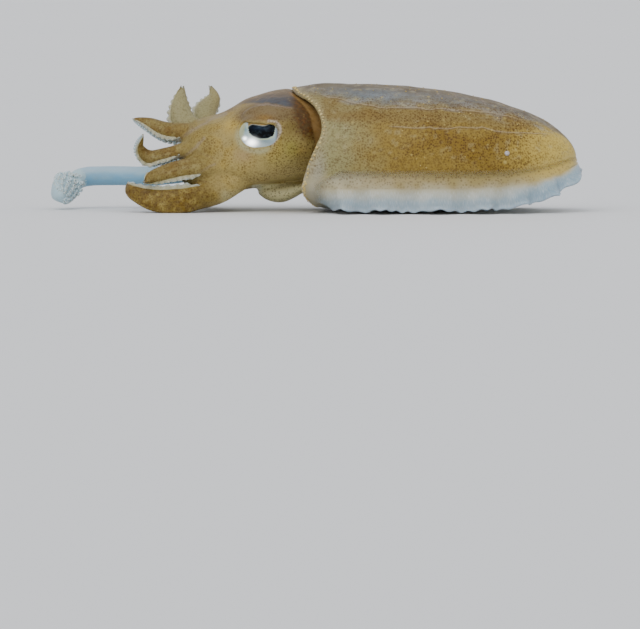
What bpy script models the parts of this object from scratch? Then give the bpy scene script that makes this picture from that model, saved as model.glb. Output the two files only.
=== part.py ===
"""Young broadclub cuttlefish: a still, life-size museum model that rests on its belly.

Sizes and places below are millimetres, and the meshes are written in metres. The head
points along -X, the tail along +X, the animal's left side along -Y, its right side
along +Y and its back along +Z. Places below count from a point on the floor under the
middle of the belly. At the end the model is moved until the origin lies on the floor
under the middle of its box.
"""

import math

import bmesh
import bpy
import numpy as np

MM = 0.001
GAP = 0.32  # kept between two nodes that touch
CUTTER_GROWTH = 0.45  # of the head, sideways and upward, to leave that gap on its slopes

# The mantle, the body's sac
MANTLE_TAIL_X = 29.7
TAIL_TIP_Z = 11.0
MANTLE_WIDEST_X = -8.0
MANTLE_HALF_WIDTH = 17.2
MANTLE_PLAN_SHAPE = (2.3, 0.48)  # powers of the outline from the widest place to the tail
MANTLE_FRONT_NARROWING = 0.0015  # of the half width, with the square of the way ahead of the widest place
MANTLE_HIGHEST_X = -22.0
MANTLE_TOP_Z = 27.0
MANTLE_TOP_SHAPE = (2.2, 0.5)
MANTLE_FRONT_DROP = 0.0152
BELLY_REST_X = (-12.0, 0.0)  # the belly leaves the floor before and behind these places
BELLY_FRONT_RISE = 0.008
BELLY_SINK = 0.4  # the round belly is flattened by this much where it rests
WIDEST_Z = 6.8
MARGIN_ANGLES = (0, 20, 40, 60, 75, 90, 112, 138, 160, 180)  # degrees from the midline of the back
MARGIN_X = (-30.3, -29.2, -25.4, -24.0, -26.0, -27.8, -28.0, -27.3, -26.0, -25.2)
COLLAR_WALL = 1.1
POCKET_FLOOR_X = -20.6
POCKET_WALL = 2.4
COLLAR_END_X = -17.0

# The fins, one ruffled hem along each side, with the places of their crests as shares of the length
FIN_CRESTS = {
    "fin_left": (0.025, 0.1, 0.225, 0.42, 0.57, 0.69, 0.795, 0.89, 1.11),
    "fin_right": (0.06, 0.225, 0.38, 0.455, 0.595, 0.715, 0.825, 0.925, 1.08),
}
FIN_START_X = -25.8
FIN_END_HALF_GAP = 0.55
FIN_ROOT_DROP = (1.5, 1.0)  # below the mantle's widest level, beside the belly and at the tail
FIN_ROOT_HALF_THICKNESS = 0.7
FIN_EDGE_HALF_THICKNESS = 0.26
FIN_REACH = (1.6, 5.2)  # outward, in a fold and on a crest
FIN_DROP = (4.5, 0.7)  # downward, beside the belly and at the tail

# The head: station, middle, half width, underside and top
HEAD_STATIONS = (
    (-20.95, 0.0, 9.6, 8.4, 22.4),
    (-24.5, 0.8, 11.6, 7.4, 24.0),
    (-28.0, 2.4, 14.8, 6.7, 25.2),
    (-31.0, 3.2, 16.7, 6.2, 25.7),
    (-34.0, 3.3, 16.8, 5.6, 25.4),
    (-37.0, 3.2, 15.9, 4.9, 24.6),
    (-40.0, 3.5, 14.5, 4.4, 23.6),
    (-43.0, 3.8, 13.6, 3.8, 21.8),
    (-46.0, 4.0, 13.0, 3.1, 20.4),
    (-49.0, 4.2, 12.2, 3.0, 19.6),
    (-51.6, 4.3, 10.8, 3.9, 18.5),
    (-53.3, 4.3, 8.2, 5.8, 16.4),
)
HEAD_FRONT_TIP = (-53.9, 4.3, 10.9)
HEAD_RINGS = 16
HEAD_WIDEST_SHARE = 0.5  # of the height, from the underside
NECK_WALL = 2.1  # kept free inside the mantle's surface for the collar and the gap
NECK_SLOPE = 1.5  # how fast the head may widen ahead of the margin
NECK_CLEAR_X = 0.9  # ahead of the margin, before the head widens
NECK_MIDDLE = (0.0, 14.0)  # across and up
COLLAR_REACH_X = -30.3  # the mantle's foremost place

EYE_X = -36.6
EYE_Z = 16.6
EYE_TURN = math.radians(25)  # towards the front, from straight sideways
EYE_HALF_SIZES = (5.2, 3.2, 3.9)  # along the head, outward and upward
EYE_INSET = 2.5  # of the eyeball's middle, inward from the head's side
LID_HALF_SIZES = (4.9, 3.5)
LID_THICKNESS = 0.8
LID_OUTWARD = 1.1  # of the lid's ring, from the eyeball's middle
BROW_HALF_SIZES = (4.4, 2.4, 1.5)
BROW_PLACE = (0.4, -0.8, 4.0)
MOUTH = (-53.5, 4.3, 10.9)
LIP_RADIUS = 1.9
LIP_THICKNESS = 0.75

# Each arm: its line from the root to the tip, the way its sucker face looks at the root
# and at the tip, its half width, its half depth for each unit of width, and its keel
ARMS = {
    "arm_left_1": (
        ((-46, 1.4, 15.2), (-51.0, 2.7, 15.7), (-56.5, 5.0, 16.1), (-60.6, 6.1, 17.8), (-64.1, 5.6, 19.3)),
        (0.1, 0.0, -1.0), (-0.2, 0.0, -1.0), 2.9, 0.88, 0.0),
    "arm_left_2": (
        ((-46, -3.6, 12.6), (-51.0, -3.3, 12.9), (-56.4, -2.0, 11.5), (-60.6, -1.6, 11.1),
         (-62.7, -2.7, 13.4), (-61.6, -4.0, 16.3)),
        (0.1, 0.1, -1.0), (-1.0, 0.1, 0.0), 2.45, 0.8, 0.0),
    "arm_left_3": (
        ((-42, -5.7, 9.7), (-49, -7.7, 9.6), (-55.2, -8.8, 8.6), (-59.4, -10.5, 7.5), (-61.3, -13.6, 6.3)),
        (0.1, 0.5, -1.0), (-1.0, 0.0, -0.7), 2.75, 0.75, 0.0),
    "arm_left_4": (
        ((-39.5, -4.0, 7.4), (-45.8, -7.3, 4.5), (-52.4, -9.2, 3.1), (-58.4, -9.5, 3.0),
         (-62.9, -8.0, 4.2), (-64.4, -5.0, 5.4), (-63.4, -2.2, 6.0)),
        (0.0, 0.75, 0.8), (0.6, 0.6, 0.6), 2.9, 0.85, 0.9),
    "arm_right_1": (
        ((-45, 8.0, 15.4), (-50.0, 9.0, 16.6), (-53.4, 10.8, 18.8), (-54.0, 12.6, 22.4), (-53.7, 14.2, 26.2)),
        (-0.1, 0.3, -1.0), (-0.3, 1.0, 0.0), 2.75, 0.66, 0.0),
    "arm_right_2": (
        ((-42.4, 12.8, 13.8), (-47.4, 15.6, 16.6), (-49.0, 18.6, 20.0), (-47.0, 22.4, 23.4),
         (-48.0, 24.8, 25.9)),
        (-0.4, 0.3, -0.9), (-0.5, 0.9, -0.6), 2.4, 0.68, 0.0),
    "arm_right_3": (
        ((-42, 13.0, 9.6), (-47.6, 16.8, 10.0), (-51.8, 19.6, 10.2), (-55.2, 20.6, 12.6)),
        (-0.4, 0.0, -1.0), (-1.0, -0.2, -0.4), 2.4, 0.75, 0.0),
    "arm_right_4": (
        ((-39.5, 11.2, 7.6), (-45.8, 15.7, 4.8), (-52.4, 19.2, 3.2), (-57.8, 20.6, 2.9), (-62.0, 18.9, 4.2),
         (-62.9, 17.3, 5.8)),
        (0.0, -0.3, 1.0), (0.6, -0.4, 0.9), 2.9, 0.85, 0.9),
}
ARM_TIP_RADIUS = 0.25
SUCKER_FACE_DEPTH = 0.62  # of the flatter side of an arm, against its back
SUCKER_FACE_SHAPE = 0.75
KEEL_START = 0.3  # of the arm
KEEL_GROWTH = 0.28

# The suckers: short six-sided cups with a sunk middle
CUP_SIDES = 6
CUP_RINGS = ((-0.75, 0.72), (0.75, 1.0))  # height and width of foot and rim, for a radius of 1
CUP_FLOOR = 0.3
FIRST_CUP_SHARE = 0.42  # of the arm, from its root inside the head
LAST_CUP_SHARE = 0.95
CUP_STEP = 2.9  # between two cups of a row, for each unit of a cup radius
CUP_ROW_PLACE = 0.46  # of an arm's half width, to each side of its middle
CUP_ROW_LEAN = 0.35
CUP_SHARE_OF_WIDTH = 0.25
SMALLEST_CUP = 0.33
CUP_VARIATION = 0.06  # of a radius, from cup to cup
CLUB_CUP_ROWS = ((-0.62, 0.5), (0.0, 0.75), (0.62, 0.5))  # place across the club, and size
CLUB_CUP_LEAN = 0.7
SEED = 7

# The one tentacle that is out of its pouch, in two lengths and a club
TENTACLE_LINE = (
    (-48.6, 9.6, 8.2), (-55.0, 11.0, 7.3), (-61.6, 13.8, 6.9), (-68.6, 15.2, 6.9), (-74.4, 14.4, 6.7),
    (-77.7, 12.0, 5.4), (-79.2, 8.2, 3.8), (-79.0, 3.6, 3.0),
)
TENTACLE_SPLITS = (0.34, 0.69)
JOINT_STRAIGHT = 0.3  # of the stalk, before and after a joint
STALK_RADIUS = (1.75, 2.1)
CLUB_FACE = ((0.6, 0.5, 0.6), (0.9, 0.1, 0.5))
CLUB_HALF_WIDTH = 3.0
CLUB_HALF_THICKNESS = 1.3
CLUB_KEEL = 1.2

FUNNEL_LINE = ((-22.0, 1.4, 5.4), (-37.6, 2.2, 4.15))
FUNNEL_HALF_WIDTH = 5.2
FUNNEL_HALF_HEIGHT = 2.2
FUNNEL_MOUTH_DEPTH = 2.6
# Along the funnel from its rear: share of the length, of the full width and height, and how far it hangs
FUNNEL_SECTIONS = (
    (0.0, 0.8, 0.6, 0.2), (0.22, 0.95, 0.66, 0.0), (0.385, 1.0, 0.68, -0.25), (0.5, 0.98, 0.84, 0.25),
    (0.6, 0.92, 0.96, 0.58), (0.7, 0.86, 1.0, 0.64), (0.81, 0.76, 0.91, 0.48), (0.91, 0.62, 0.66, 0.25),
    (0.96, 0.5, 0.44, 0.12), (1.0, 0.38, 0.26, 0.0),
)
FUNNEL_MOUTH = ((0.25, 0.26, 0.18), (FUNNEL_MOUTH_DEPTH, 0.22, 0.2))  # depth, width and height

SKIN_BROWN = (0.42, 0.30, 0.13)
ARM_OCHRE = (0.46, 0.34, 0.15)
FIN_WHITE = (0.78, 0.82, 0.84)
TENTACLE_WHITE = (0.80, 0.84, 0.88)
FUNNEL_OCHRE = (0.60, 0.52, 0.28)
EYE_SILVER = (0.75, 0.80, 0.80)


def ease(value):
    """A smooth step from 0 to 1."""
    value = np.clip(value, 0.0, 1.0)
    return value * value * (3 - 2 * value)


def smooth_value(places, values, place):
    """A smooth curve through the values at those places, flat-ended, read at one place."""
    places, values = np.asarray(places, float), np.asarray(values, float)
    if places[0] > places[-1]:
        places, values = places[::-1], values[::-1]
    slopes = np.gradient(values, places)
    i = int(np.clip(np.searchsorted(places, place) - 1, 0, len(places) - 2))
    step = places[i + 1] - places[i]
    t = np.clip((place - places[i]) / step, 0.0, 1.0)
    return (
        values[i] * (1 + 2 * t) * (1 - t) ** 2
        + slopes[i] * step * t * (1 - t) ** 2
        + values[i + 1] * t * t * (3 - 2 * t)
        + slopes[i + 1] * step * t * t * (t - 1)
    )


def even_path(line, count):
    """Evenly spaced points on a smooth curve through the line's own points."""
    line = np.asarray(line, float)
    ends = np.vstack([2 * line[0] - line[1], line, 2 * line[-1] - line[-2]])
    fine = []
    for a, b, c, d in zip(ends, ends[1:], ends[2:], ends[3:]):
        for t in np.linspace(0, 1, 24, endpoint=False):
            fine.append(
                0.5 * (2 * b + (c - a) * t + (2 * a - 5 * b + 4 * c - d) * t * t
                       + (3 * b - a - 3 * c + d) * t ** 3)
            )
    fine = np.array(fine + [line[-1]])
    along = np.concatenate([[0], np.cumsum(np.linalg.norm(np.diff(fine, axis=0), axis=1))])
    wanted = np.linspace(0, along[-1], count)
    return np.stack([np.interp(wanted, along, fine[:, k]) for k in range(3)], axis=1)


def unit(vectors):
    vectors = np.asarray(vectors, float)
    return vectors / np.linalg.norm(vectors, axis=-1, keepdims=True)


def frames_along(path, face_root, face_tip, start=None):
    """For each point of a path: the way its sucker face looks, and its side."""
    forward = unit(np.gradient(path, axis=0))
    if start is not None:
        forward[0] = start
    share = ease(np.linspace(0, 1, len(path)))[:, None]
    face = unit(face_root) * (1 - share) + unit(face_tip) * share
    face = unit(face - forward * (face * forward).sum(1, keepdims=True))
    return face, np.cross(forward, face)


def rounded_end(share, powers):
    """Falls from 1 to 0 as the share goes from 0 to 1, with a round end."""
    return max(0.0, 1 - max(0.0, share) ** powers[0]) ** powers[1]


def mantle_half_width(x):
    if x < MANTLE_WIDEST_X:
        return MANTLE_HALF_WIDTH - MANTLE_FRONT_NARROWING * (x - MANTLE_WIDEST_X) ** 2
    share = (x - MANTLE_WIDEST_X) / (MANTLE_TAIL_X - MANTLE_WIDEST_X)
    return MANTLE_HALF_WIDTH * rounded_end(share, MANTLE_PLAN_SHAPE)


def mantle_top(x):
    if x < MANTLE_HIGHEST_X:
        return MANTLE_TOP_Z - MANTLE_FRONT_DROP * (x - MANTLE_HIGHEST_X) ** 2
    share = (x - MANTLE_HIGHEST_X) / (MANTLE_TAIL_X - MANTLE_HIGHEST_X)
    return TAIL_TIP_Z + (MANTLE_TOP_Z - TAIL_TIP_Z) * rounded_end(share, MANTLE_TOP_SHAPE)


def tail_share(x):
    """0 over the belly's flat, 1 at the tail."""
    return max(0.0, x - BELLY_REST_X[1]) / (MANTLE_TAIL_X - BELLY_REST_X[1])


def mantle_underside(x):
    rise = 1 - rounded_end(tail_share(x), (2, 0.5))
    front = BELLY_FRONT_RISE * max(0.0, BELLY_REST_X[0] - x) ** 2
    return -BELLY_SINK + front + (TAIL_TIP_Z + BELLY_SINK) * rise


def widest_level(x):
    return WIDEST_Z + (TAIL_TIP_Z - WIDEST_Z) * tail_share(x) ** 3


def mantle_point(x, angle):
    """A point of the mantle's surface, at an angle in radians from the back's midline, towards +Y."""
    sideways, upward = math.sin(angle), math.cos(angle)
    level = widest_level(x)
    y = mantle_half_width(x) * math.copysign(abs(sideways) ** 0.93, sideways)
    if upward > 0:
        z = level + (mantle_top(x) - level) * upward ** 0.93
    else:
        z = level - (level - mantle_underside(x)) * abs(upward) ** 0.78
    return np.array([x, y, max(z, 0.0)])


def margin_x(angle):
    """Where the mantle's front margin lies, at an angle from the back's midline."""
    turned = abs((math.degrees(angle) + 180) % 360 - 180)
    return smooth_value(MARGIN_ANGLES, MARGIN_X, turned)


def make_object(name, points, faces):
    mesh = bpy.data.meshes.new(name)
    mesh.from_pydata((np.asarray(points, float) * MM).tolist(), [], faces)
    work = bmesh.new()
    work.from_mesh(mesh)
    bmesh.ops.recalc_face_normals(work, faces=work.faces)
    work.to_mesh(mesh)
    work.free()
    made = bpy.data.objects.new(name, mesh)
    bpy.context.scene.collection.objects.link(made)
    return made


def paint(target, colour, roughness=0.45):
    material = bpy.data.materials.new(target.name)
    material.use_nodes = True
    shader = material.node_tree.nodes["Principled BSDF"]
    shader.inputs["Base Color"].default_value = (*colour, 1)
    shader.inputs["Roughness"].default_value = roughness
    shader.inputs["Metallic"].default_value = 0.0
    target.data.materials.clear()
    target.data.materials.append(material)


def loft(name, rings, start=None, end=None):
    """A closed body over rings of points, each end closed by a fan round its middle or a given point."""
    rings = [np.asarray(ring, float) for ring in rings]
    around = len(rings[0])
    points = [p for ring in rings for p in ring]
    faces = []
    for i in range(len(rings) - 1):
        for k in range(around):
            n = (k + 1) % around
            faces.append((i * around + k, i * around + n, (i + 1) * around + n, (i + 1) * around + k))
    for ring_index, middle in ((0, start), (len(rings) - 1, end)):
        if middle is None:
            middle = rings[ring_index].mean(axis=0)
        points.append(np.asarray(middle, float))
        tip = len(points) - 1
        for k in range(around):
            faces.append((ring_index * around + k, ring_index * around + (k + 1) % around, tip))
    return make_object(name, points, faces)


def boolean(target, operation, pieces):
    """Joins or cuts a target with closed pieces in one step, then removes the pieces."""
    group = bpy.data.collections.new(target.name + "_pieces")
    bpy.context.scene.collection.children.link(group)
    for piece in pieces:
        group.objects.link(piece)
    step = target.modifiers.new(operation, "BOOLEAN")
    step.operand_type = "COLLECTION"
    step.collection = group
    step.operation = operation
    step.solver = "MANIFOLD"
    bpy.context.view_layer.update()
    graph = bpy.context.evaluated_depsgraph_get()
    result = bpy.data.meshes.new_from_object(target.evaluated_get(graph))
    target.modifiers.clear()
    target.data = result
    for piece in pieces:
        bpy.data.objects.remove(piece)
    bpy.data.collections.remove(group)
    keep_largest(target)


def keep_largest(target):
    """Drops any loose scrap that a join or a cut left."""
    work = bmesh.new()
    work.from_mesh(target.data)
    bmesh.ops.triangulate(work, faces=work.faces)
    unseen = set(work.faces)
    islands = []
    while unseen:
        island, edge = set(), {unseen.pop()}
        while edge:
            face = edge.pop()
            island.add(face)
            near = {f for e in face.edges for f in e.link_faces} & unseen
            unseen -= near
            edge |= near
        islands.append(island)
    largest = max(islands, key=lambda faces: sum(f.calc_area() for f in faces))
    loose = [f for island in islands if island is not largest for f in island]
    bmesh.ops.delete(work, geom=loose, context="FACES")
    work.to_mesh(target.data)
    work.free()


def ball(name, middle, half_sizes, axes, around, rows):
    """An ellipsoid with its half sizes along three directions."""
    work = bmesh.new()
    bmesh.ops.create_uvsphere(work, u_segments=around, v_segments=rows, radius=1.0)
    points = [middle + (np.array(v.co) * half_sizes) @ axes for v in work.verts]
    faces = [[v.index for v in f.verts] for f in work.faces]
    work.free()
    return make_object(name, points, faces)


def ring_tube(name, middle, half_across, half_up, thickness, across, around, sides=5):
    """An oval ring of round stock that stands upright, wide in the direction given."""
    middle, across = np.asarray(middle, float), np.asarray(across, float)
    up = np.array([0.0, 0.0, 1.0])
    axis = np.cross(across, up)
    points, faces = [], []
    for i in range(around):
        turn = 2 * math.pi * i / around
        outward = unit(math.cos(turn) * across / half_across + math.sin(turn) * up / half_up)
        place = middle + math.cos(turn) * half_across * across + math.sin(turn) * half_up * up
        for k in range(sides):
            roll = 2 * math.pi * k / sides
            points.append(place + thickness * (outward * math.cos(roll) + axis * math.sin(roll)))
            faces.append((i * sides + k, i * sides + (k + 1) % sides,
                          (i + 1) % around * sides + (k + 1) % sides, (i + 1) % around * sides + k))
    return make_object(name, points, faces)


def make_mantle(around=28, stations=14):
    """The sac, with a collar over the neck and the shallow pocket inside it."""
    angles = [2 * math.pi * k / around for k in range(around)]
    rings = []
    for depth in (1.0, 0.55, 0.15):  # the inside of the collar, from the pocket's floor forward
        ring = []
        for angle in angles:
            x = margin_x(angle) * (1 - depth) + POCKET_FLOOR_X * depth
            wall = COLLAR_WALL + (POCKET_WALL - COLLAR_WALL) * depth
            ring.append(inside_mantle(x, angle, wall))
        rings.append(ring)
    rings.append([inside_mantle(margin_x(angle) - 0.1, angle, COLLAR_WALL * 0.5) for angle in angles])
    for share in (0.0, 0.16, 0.45, 1.0):
        first_x = [margin_x(angle) + 0.3 for angle in angles]
        ring = [mantle_point(x + (COLLAR_END_X - x) * share, a) for x, a in zip(first_x, angles)]
        rings.append(ring)
    for step in range(1, stations):
        turn = math.pi / 2 * step / (stations - 1)
        x = COLLAR_END_X + (MANTLE_TAIL_X - 0.2 - COLLAR_END_X) * math.sin(turn)
        rings.append([mantle_point(x, angle) for angle in angles])
    mantle = loft("mantle", rings, end=(MANTLE_TAIL_X, 0, TAIL_TIP_Z))
    paint(mantle, SKIN_BROWN)
    return mantle


def inside_mantle(x, angle, wall):
    """A point that deep under the mantle's surface."""
    here = mantle_point(x, angle)[1:]
    before, after = (mantle_point(x, angle + turn)[1:] for turn in (-0.02, 0.02))
    along = unit(after - before)
    inward = np.array([along[1], -along[0]])
    if inward @ (np.array(NECK_MIDDLE) - here) < 0:
        inward = -inward
    y, z = here + inward * wall
    return np.array([x, y, z])


def fin_outline(count):
    """Evenly spaced places on the fin's root line, with the outward direction in plan."""
    xs = FIN_START_X + (MANTLE_TAIL_X - 0.02 - FIN_START_X) * np.sin(np.linspace(0, math.pi / 2, 800))
    line = np.array([(x, mantle_half_width(x)) for x in xs])
    line = line[line[:, 1] > FIN_END_HALF_GAP]
    along = np.concatenate([[0], np.cumsum(np.linalg.norm(np.diff(line, axis=0), axis=1))])
    wanted = np.linspace(0, along[-1], count)
    even = np.stack([np.interp(wanted, along, line[:, k]) for k in range(2)], axis=1)
    direction = unit(np.gradient(even, axis=0))
    return even, np.stack([-direction[:, 1], direction[:, 0]], axis=1)


def fin_crest(share, crests):
    """How far the ruffle stands out at a share of the fin's length, from 0 in a fold to 1 on a crest."""
    phase = np.interp(share, crests, range(len(crests)))
    return (0.5 + 0.5 * math.cos(2 * math.pi * phase)) ** 1.35


def fin_middle(place, outward, share, across, crests):
    """A point of the fin's middle surface, from its root (across 0) to its edge (across 1)."""
    crest = fin_crest(share, crests)
    start, end = float(ease(share / 0.03)), float(ease((1 - share) / 0.18))
    reach_low, reach_high = FIN_REACH
    reach = (reach_low + (reach_high - reach_low) * crest) * (0.4 + 0.6 * start) * (0.35 + 0.65 * end)
    drop = FIN_DROP[0] + (FIN_DROP[1] - FIN_DROP[0]) * tail_share(place[0]) ** 6
    drop += (0.35 - 0.7 * crest) * across * (0.5 + 0.5 * end)
    mean = reach_low + 0.55 * (reach_high - reach_low)
    out = min(reach, mean) * math.sin(across * math.pi / 2) ** 0.9 + max(0.0, reach - mean) * across ** 2
    root_x, root_y, root_z = fin_root(place, outward)
    return np.array([
        root_x + outward[0] * out,
        root_y + outward[1] * out,
        root_z - drop * across ** 1.6,
    ])


def fin_root(place, outward):
    x, y = place
    low, high = FIN_ROOT_DROP
    z = widest_level(x) - low - (high - low) * tail_share(x) ** 3
    return x + outward[0] * (GAP + 0.03), y + outward[1] * (GAP + 0.03), z


def make_fin(name, side, stations=62, columns=4):
    """One ruffled hem. Both faces are split into triangles alike."""
    places, outwards = fin_outline(stations)
    crests = FIN_CRESTS[name]
    middle = np.array([
        [fin_middle(p, o, i / (stations - 1), c / columns, crests) for c in range(columns + 1)]
        for i, (p, o) in enumerate(zip(places, outwards))
    ])
    lengthwise, crosswise = np.gradient(middle, axis=0), np.gradient(middle, axis=1)
    normal = unit(np.cross(crosswise, lengthwise))
    normal[:, 0] = (0, 0, -1) if normal[:, 0, 2].mean() < 0 else (0, 0, 1)
    normal = unit(normal)
    across = np.linspace(0, 1, columns + 1)[None, :, None]
    half = FIN_ROOT_HALF_THICKNESS + (FIN_EDGE_HALF_THICKNESS - FIN_ROOT_HALF_THICKNESS) * across ** 0.7
    faces_of_fin = [middle + normal * half, middle - normal * half]
    points = np.concatenate([face.reshape(-1, 3) for face in faces_of_fin])
    points[:, 1] *= side
    points[:, 2] = np.maximum(points[:, 2], 0.0)
    width = columns + 1
    other = stations * width
    faces = []
    for i in range(stations - 1):
        for c in range(columns):
            a, b = i * width + c, i * width + c + 1
            d, e = a + width, b + width
            faces += [(a, b, e), (a, e, d)]
            faces += [(other + a, other + e, other + b), (other + a, other + d, other + e)]
        for c in (0, columns):
            a, b = i * width + c, (i + 1) * width + c
            faces += [(a, b, other + b), (a, other + b, other + a)]
    for i in (0, stations - 1):
        for c in range(columns):
            a, b = i * width + c, i * width + c + 1
            faces += [(a, b, other + b), (a, other + b, other + a)]
    fin = make_object(name, points, faces)
    paint(fin, FIN_WHITE)
    return fin


def head_ring(x, around, grow=0.0):
    """A section of the head, kept clear of the mantle's collar."""
    table = np.array(HEAD_STATIONS)
    middle, half, low, high = (smooth_value(table[:, 0], table[:, k], x) for k in range(1, 5))
    level = low + (high - low) * HEAD_WIDEST_SHARE
    ring = []
    for k in range(around):
        angle = 2 * math.pi * k / around
        sideways, upward = math.sin(angle), math.cos(angle)
        y = middle + (half + grow) * math.copysign(abs(sideways) ** 0.9, sideways)
        reach = high + grow - level if upward > 0 else level - low + grow
        z = level + reach * math.copysign(abs(upward) ** 0.9, upward)
        ring.append(clear_of_collar(np.array([x, y, z])))
    return ring


def clear_of_collar(point):
    """Pulls a point of the neck in until it lies far enough under the mantle's surface."""
    x = max(point[0], COLLAR_REACH_X)
    centre = np.array(NECK_MIDDLE)
    turns = np.radians(np.arange(0, 360, 3))
    outer = np.array([mantle_point(x, turn)[1:] for turn in turns]) - centre
    bearings = np.arctan2(outer[:, 0], outer[:, 1])
    order = np.argsort(bearings)
    away = point[1:] - centre
    bearing = math.atan2(away[0], away[1])
    limit = np.interp(bearing, bearings[order], np.linalg.norm(outer, axis=1)[order], period=2 * math.pi)
    turn = np.interp(bearing, bearings[order], ((turns + math.pi) % (2 * math.pi) - math.pi)[order])
    room = limit - NECK_WALL + NECK_SLOPE * max(0.0, margin_x(turn) - NECK_CLEAR_X - point[0])
    far = np.linalg.norm(away)
    if far > room:
        away = away * (room / far)
    return np.array([point[0], *(centre + away)])


def head_body(name, grow=0.0, around=24):
    """The head without eyes and lips. Grown, it is the cutter that parts the arms from it."""
    stations = np.array(HEAD_STATIONS)[:, 0]
    xs = np.interp(np.linspace(0, 1, HEAD_RINGS), np.linspace(0, 1, len(stations)), stations)
    rings = [head_ring(x, around, grow) for x in xs]
    rings[0] = [p + np.array([grow, 0, 0]) for p in rings[0]]
    rings[-1] = [p - np.array([grow, 0, 0]) for p in rings[-1]]
    return loft(name, rings, end=np.array(HEAD_FRONT_TIP) - np.array([grow, 0, 0]))


def eye_frame(side):
    """The eyeball's middle, and its directions along the head, outward and up."""
    table = np.array(HEAD_STATIONS)
    middle, half = (smooth_value(table[:, 0], table[:, k], EYE_X) for k in (1, 2))
    along = np.array([math.cos(EYE_TURN), side * math.sin(EYE_TURN), 0.0])
    outward = np.array([-math.sin(EYE_TURN), side * math.cos(EYE_TURN), 0.0])
    place = np.array([EYE_X, middle + side * (half - EYE_INSET), EYE_Z])
    return place, np.array([along, outward, [0.0, 0.0, 1.0]])


def eye_place(side, offset):
    """A place given along the head, outward and up from the eyeball's middle."""
    place, axes = eye_frame(side)
    return place + np.asarray(offset) @ axes


def make_head():
    head = head_body("head")
    pieces = []
    for side in (-1, 1):
        axes = eye_frame(side)[1]
        ring_place = eye_place(side, (0, LID_OUTWARD, 0))
        pieces.append(ring_tube(f"lid_{side}", ring_place, *LID_HALF_SIZES, LID_THICKNESS, axes[0], 16))
        pieces.append(ball(f"brow_{side}", eye_place(side, BROW_PLACE), BROW_HALF_SIZES, axes, 10, 6))
    pieces.append(ring_tube("lips", MOUTH, LIP_RADIUS, LIP_RADIUS, LIP_THICKNESS, (0, 1, 0), 12))
    boolean(head, "UNION", pieces)
    sockets = [eyeball(f"socket_{side}", side, GAP) for side in (-1, 1)]
    boolean(head, "DIFFERENCE", sockets)
    paint(head, SKIN_BROWN)
    return head


def eyeball(name, side, grow=0.0):
    place, axes = eye_frame(side)
    return ball(name, place, np.array(EYE_HALF_SIZES) + grow, axes, 18, 10)


def make_eye(name, side):
    """The eyeball, which stands a little proud of the lids."""
    paint(eyeball(name, side), EYE_SILVER, 0.15)


def taper(share):
    """An arm's width along its length: a little narrower in the head, drawn to a point at its tip."""
    return (0.72 + 0.28 * float(ease(share / 0.3))) * (1 - share ** 4) ** 1.25


def arm_rings(path, face, side, half_width, depth, keel, around=10):
    """Sections of an arm: rounded outside, flatter on the sucker face, keeled where it has a keel."""
    rings = []
    for i, centre in enumerate(path):
        share = i / (len(path) - 1)
        half = half_width * taper(share) + ARM_TIP_RADIUS
        ring = []
        for k in range(around):
            angle = 2 * math.pi * k / around
            u, v = math.cos(angle), math.sin(angle)
            if v > 0:
                v = SUCKER_FACE_DEPTH * v ** SUCKER_FACE_SHAPE
            else:
                swell = taper(share) * float(ease((share - KEEL_START) / KEEL_GROWTH))
                v = -(abs(v) + keel * abs(v) ** 5 * swell)
            ring.append(centre + side[i] * u * half + face[i] * v * half * depth)
        rings.append(ring)
    return rings


def sucker(name, place, outward, radius):
    """A short cup with a sunk middle, its foot well inside the flesh."""
    outward = unit(outward)
    first = unit(np.cross(outward, (0.31, 0.52, 0.79)))
    second = np.cross(outward, first)
    turns = [2 * math.pi * k / CUP_SIDES for k in range(CUP_SIDES)]
    rings = []
    for height, width in CUP_RINGS:
        middle = place + outward * radius * height
        across = [first * math.cos(turn) + second * math.sin(turn) for turn in turns]
        rings.append([middle + radius * width * way for way in across])
    return loft(name, rings, end=place + outward * radius * CUP_FLOOR)


def arm_suckers(name, path, face, side, half_width, depth, chance):
    """Two rows of cups along the sucker face, smaller towards the tip."""
    length = np.linalg.norm(np.diff(path, axis=0), axis=1).sum()
    height = SUCKER_FACE_DEPTH * (1 - CUP_ROW_PLACE ** 2) ** (SUCKER_FACE_SHAPE / 2)
    pieces = []
    share = FIRST_CUP_SHARE
    while share < LAST_CUP_SHARE:
        at = share * (len(path) - 1)
        i, part = int(at), at - int(at)
        read = [a[i] * (1 - part) + a[i + 1] * part for a in (path, face, side)]
        centre, look, across = read[0], unit(read[1]), unit(read[2])
        half = half_width * taper(share) + ARM_TIP_RADIUS
        radius = max(SMALLEST_CUP, CUP_SHARE_OF_WIDTH * half)
        for row in (-1, 1):
            place = centre + across * row * CUP_ROW_PLACE * half + look * height * half * depth
            size = radius * (1 + chance.uniform(-CUP_VARIATION, CUP_VARIATION))
            outward = look + across * row * CUP_ROW_LEAN
            pieces.append(sucker(f"{name}_cup_{len(pieces)}", place, outward, size))
        share += CUP_STEP * radius / length
    return pieces


def make_arm(name, chance):
    line, face_root, face_tip, half_width, depth, keel = ARMS[name]
    path = even_path(line, 15)
    face, side = frames_along(path, face_root, face_tip)
    rings = arm_rings(path, face, side, half_width, depth, keel)
    tip = path[-1] + unit(path[-1] - path[-2]) * ARM_TIP_RADIUS
    arm = loft(name, [[lifted(p) for p in ring] for ring in rings], end=tip)
    boolean(arm, "UNION", arm_suckers(name, path, face, side, half_width, depth, chance))
    boolean(arm, "DIFFERENCE", [head_body("head_cutter", CUTTER_GROWTH)])
    paint(arm, ARM_OCHRE)
    return arm


def lifted(point):
    """Nothing reaches below the floor, so what lies on it gets a small flat."""
    return np.array([point[0], point[1], max(point[2], 0.0)])


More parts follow.
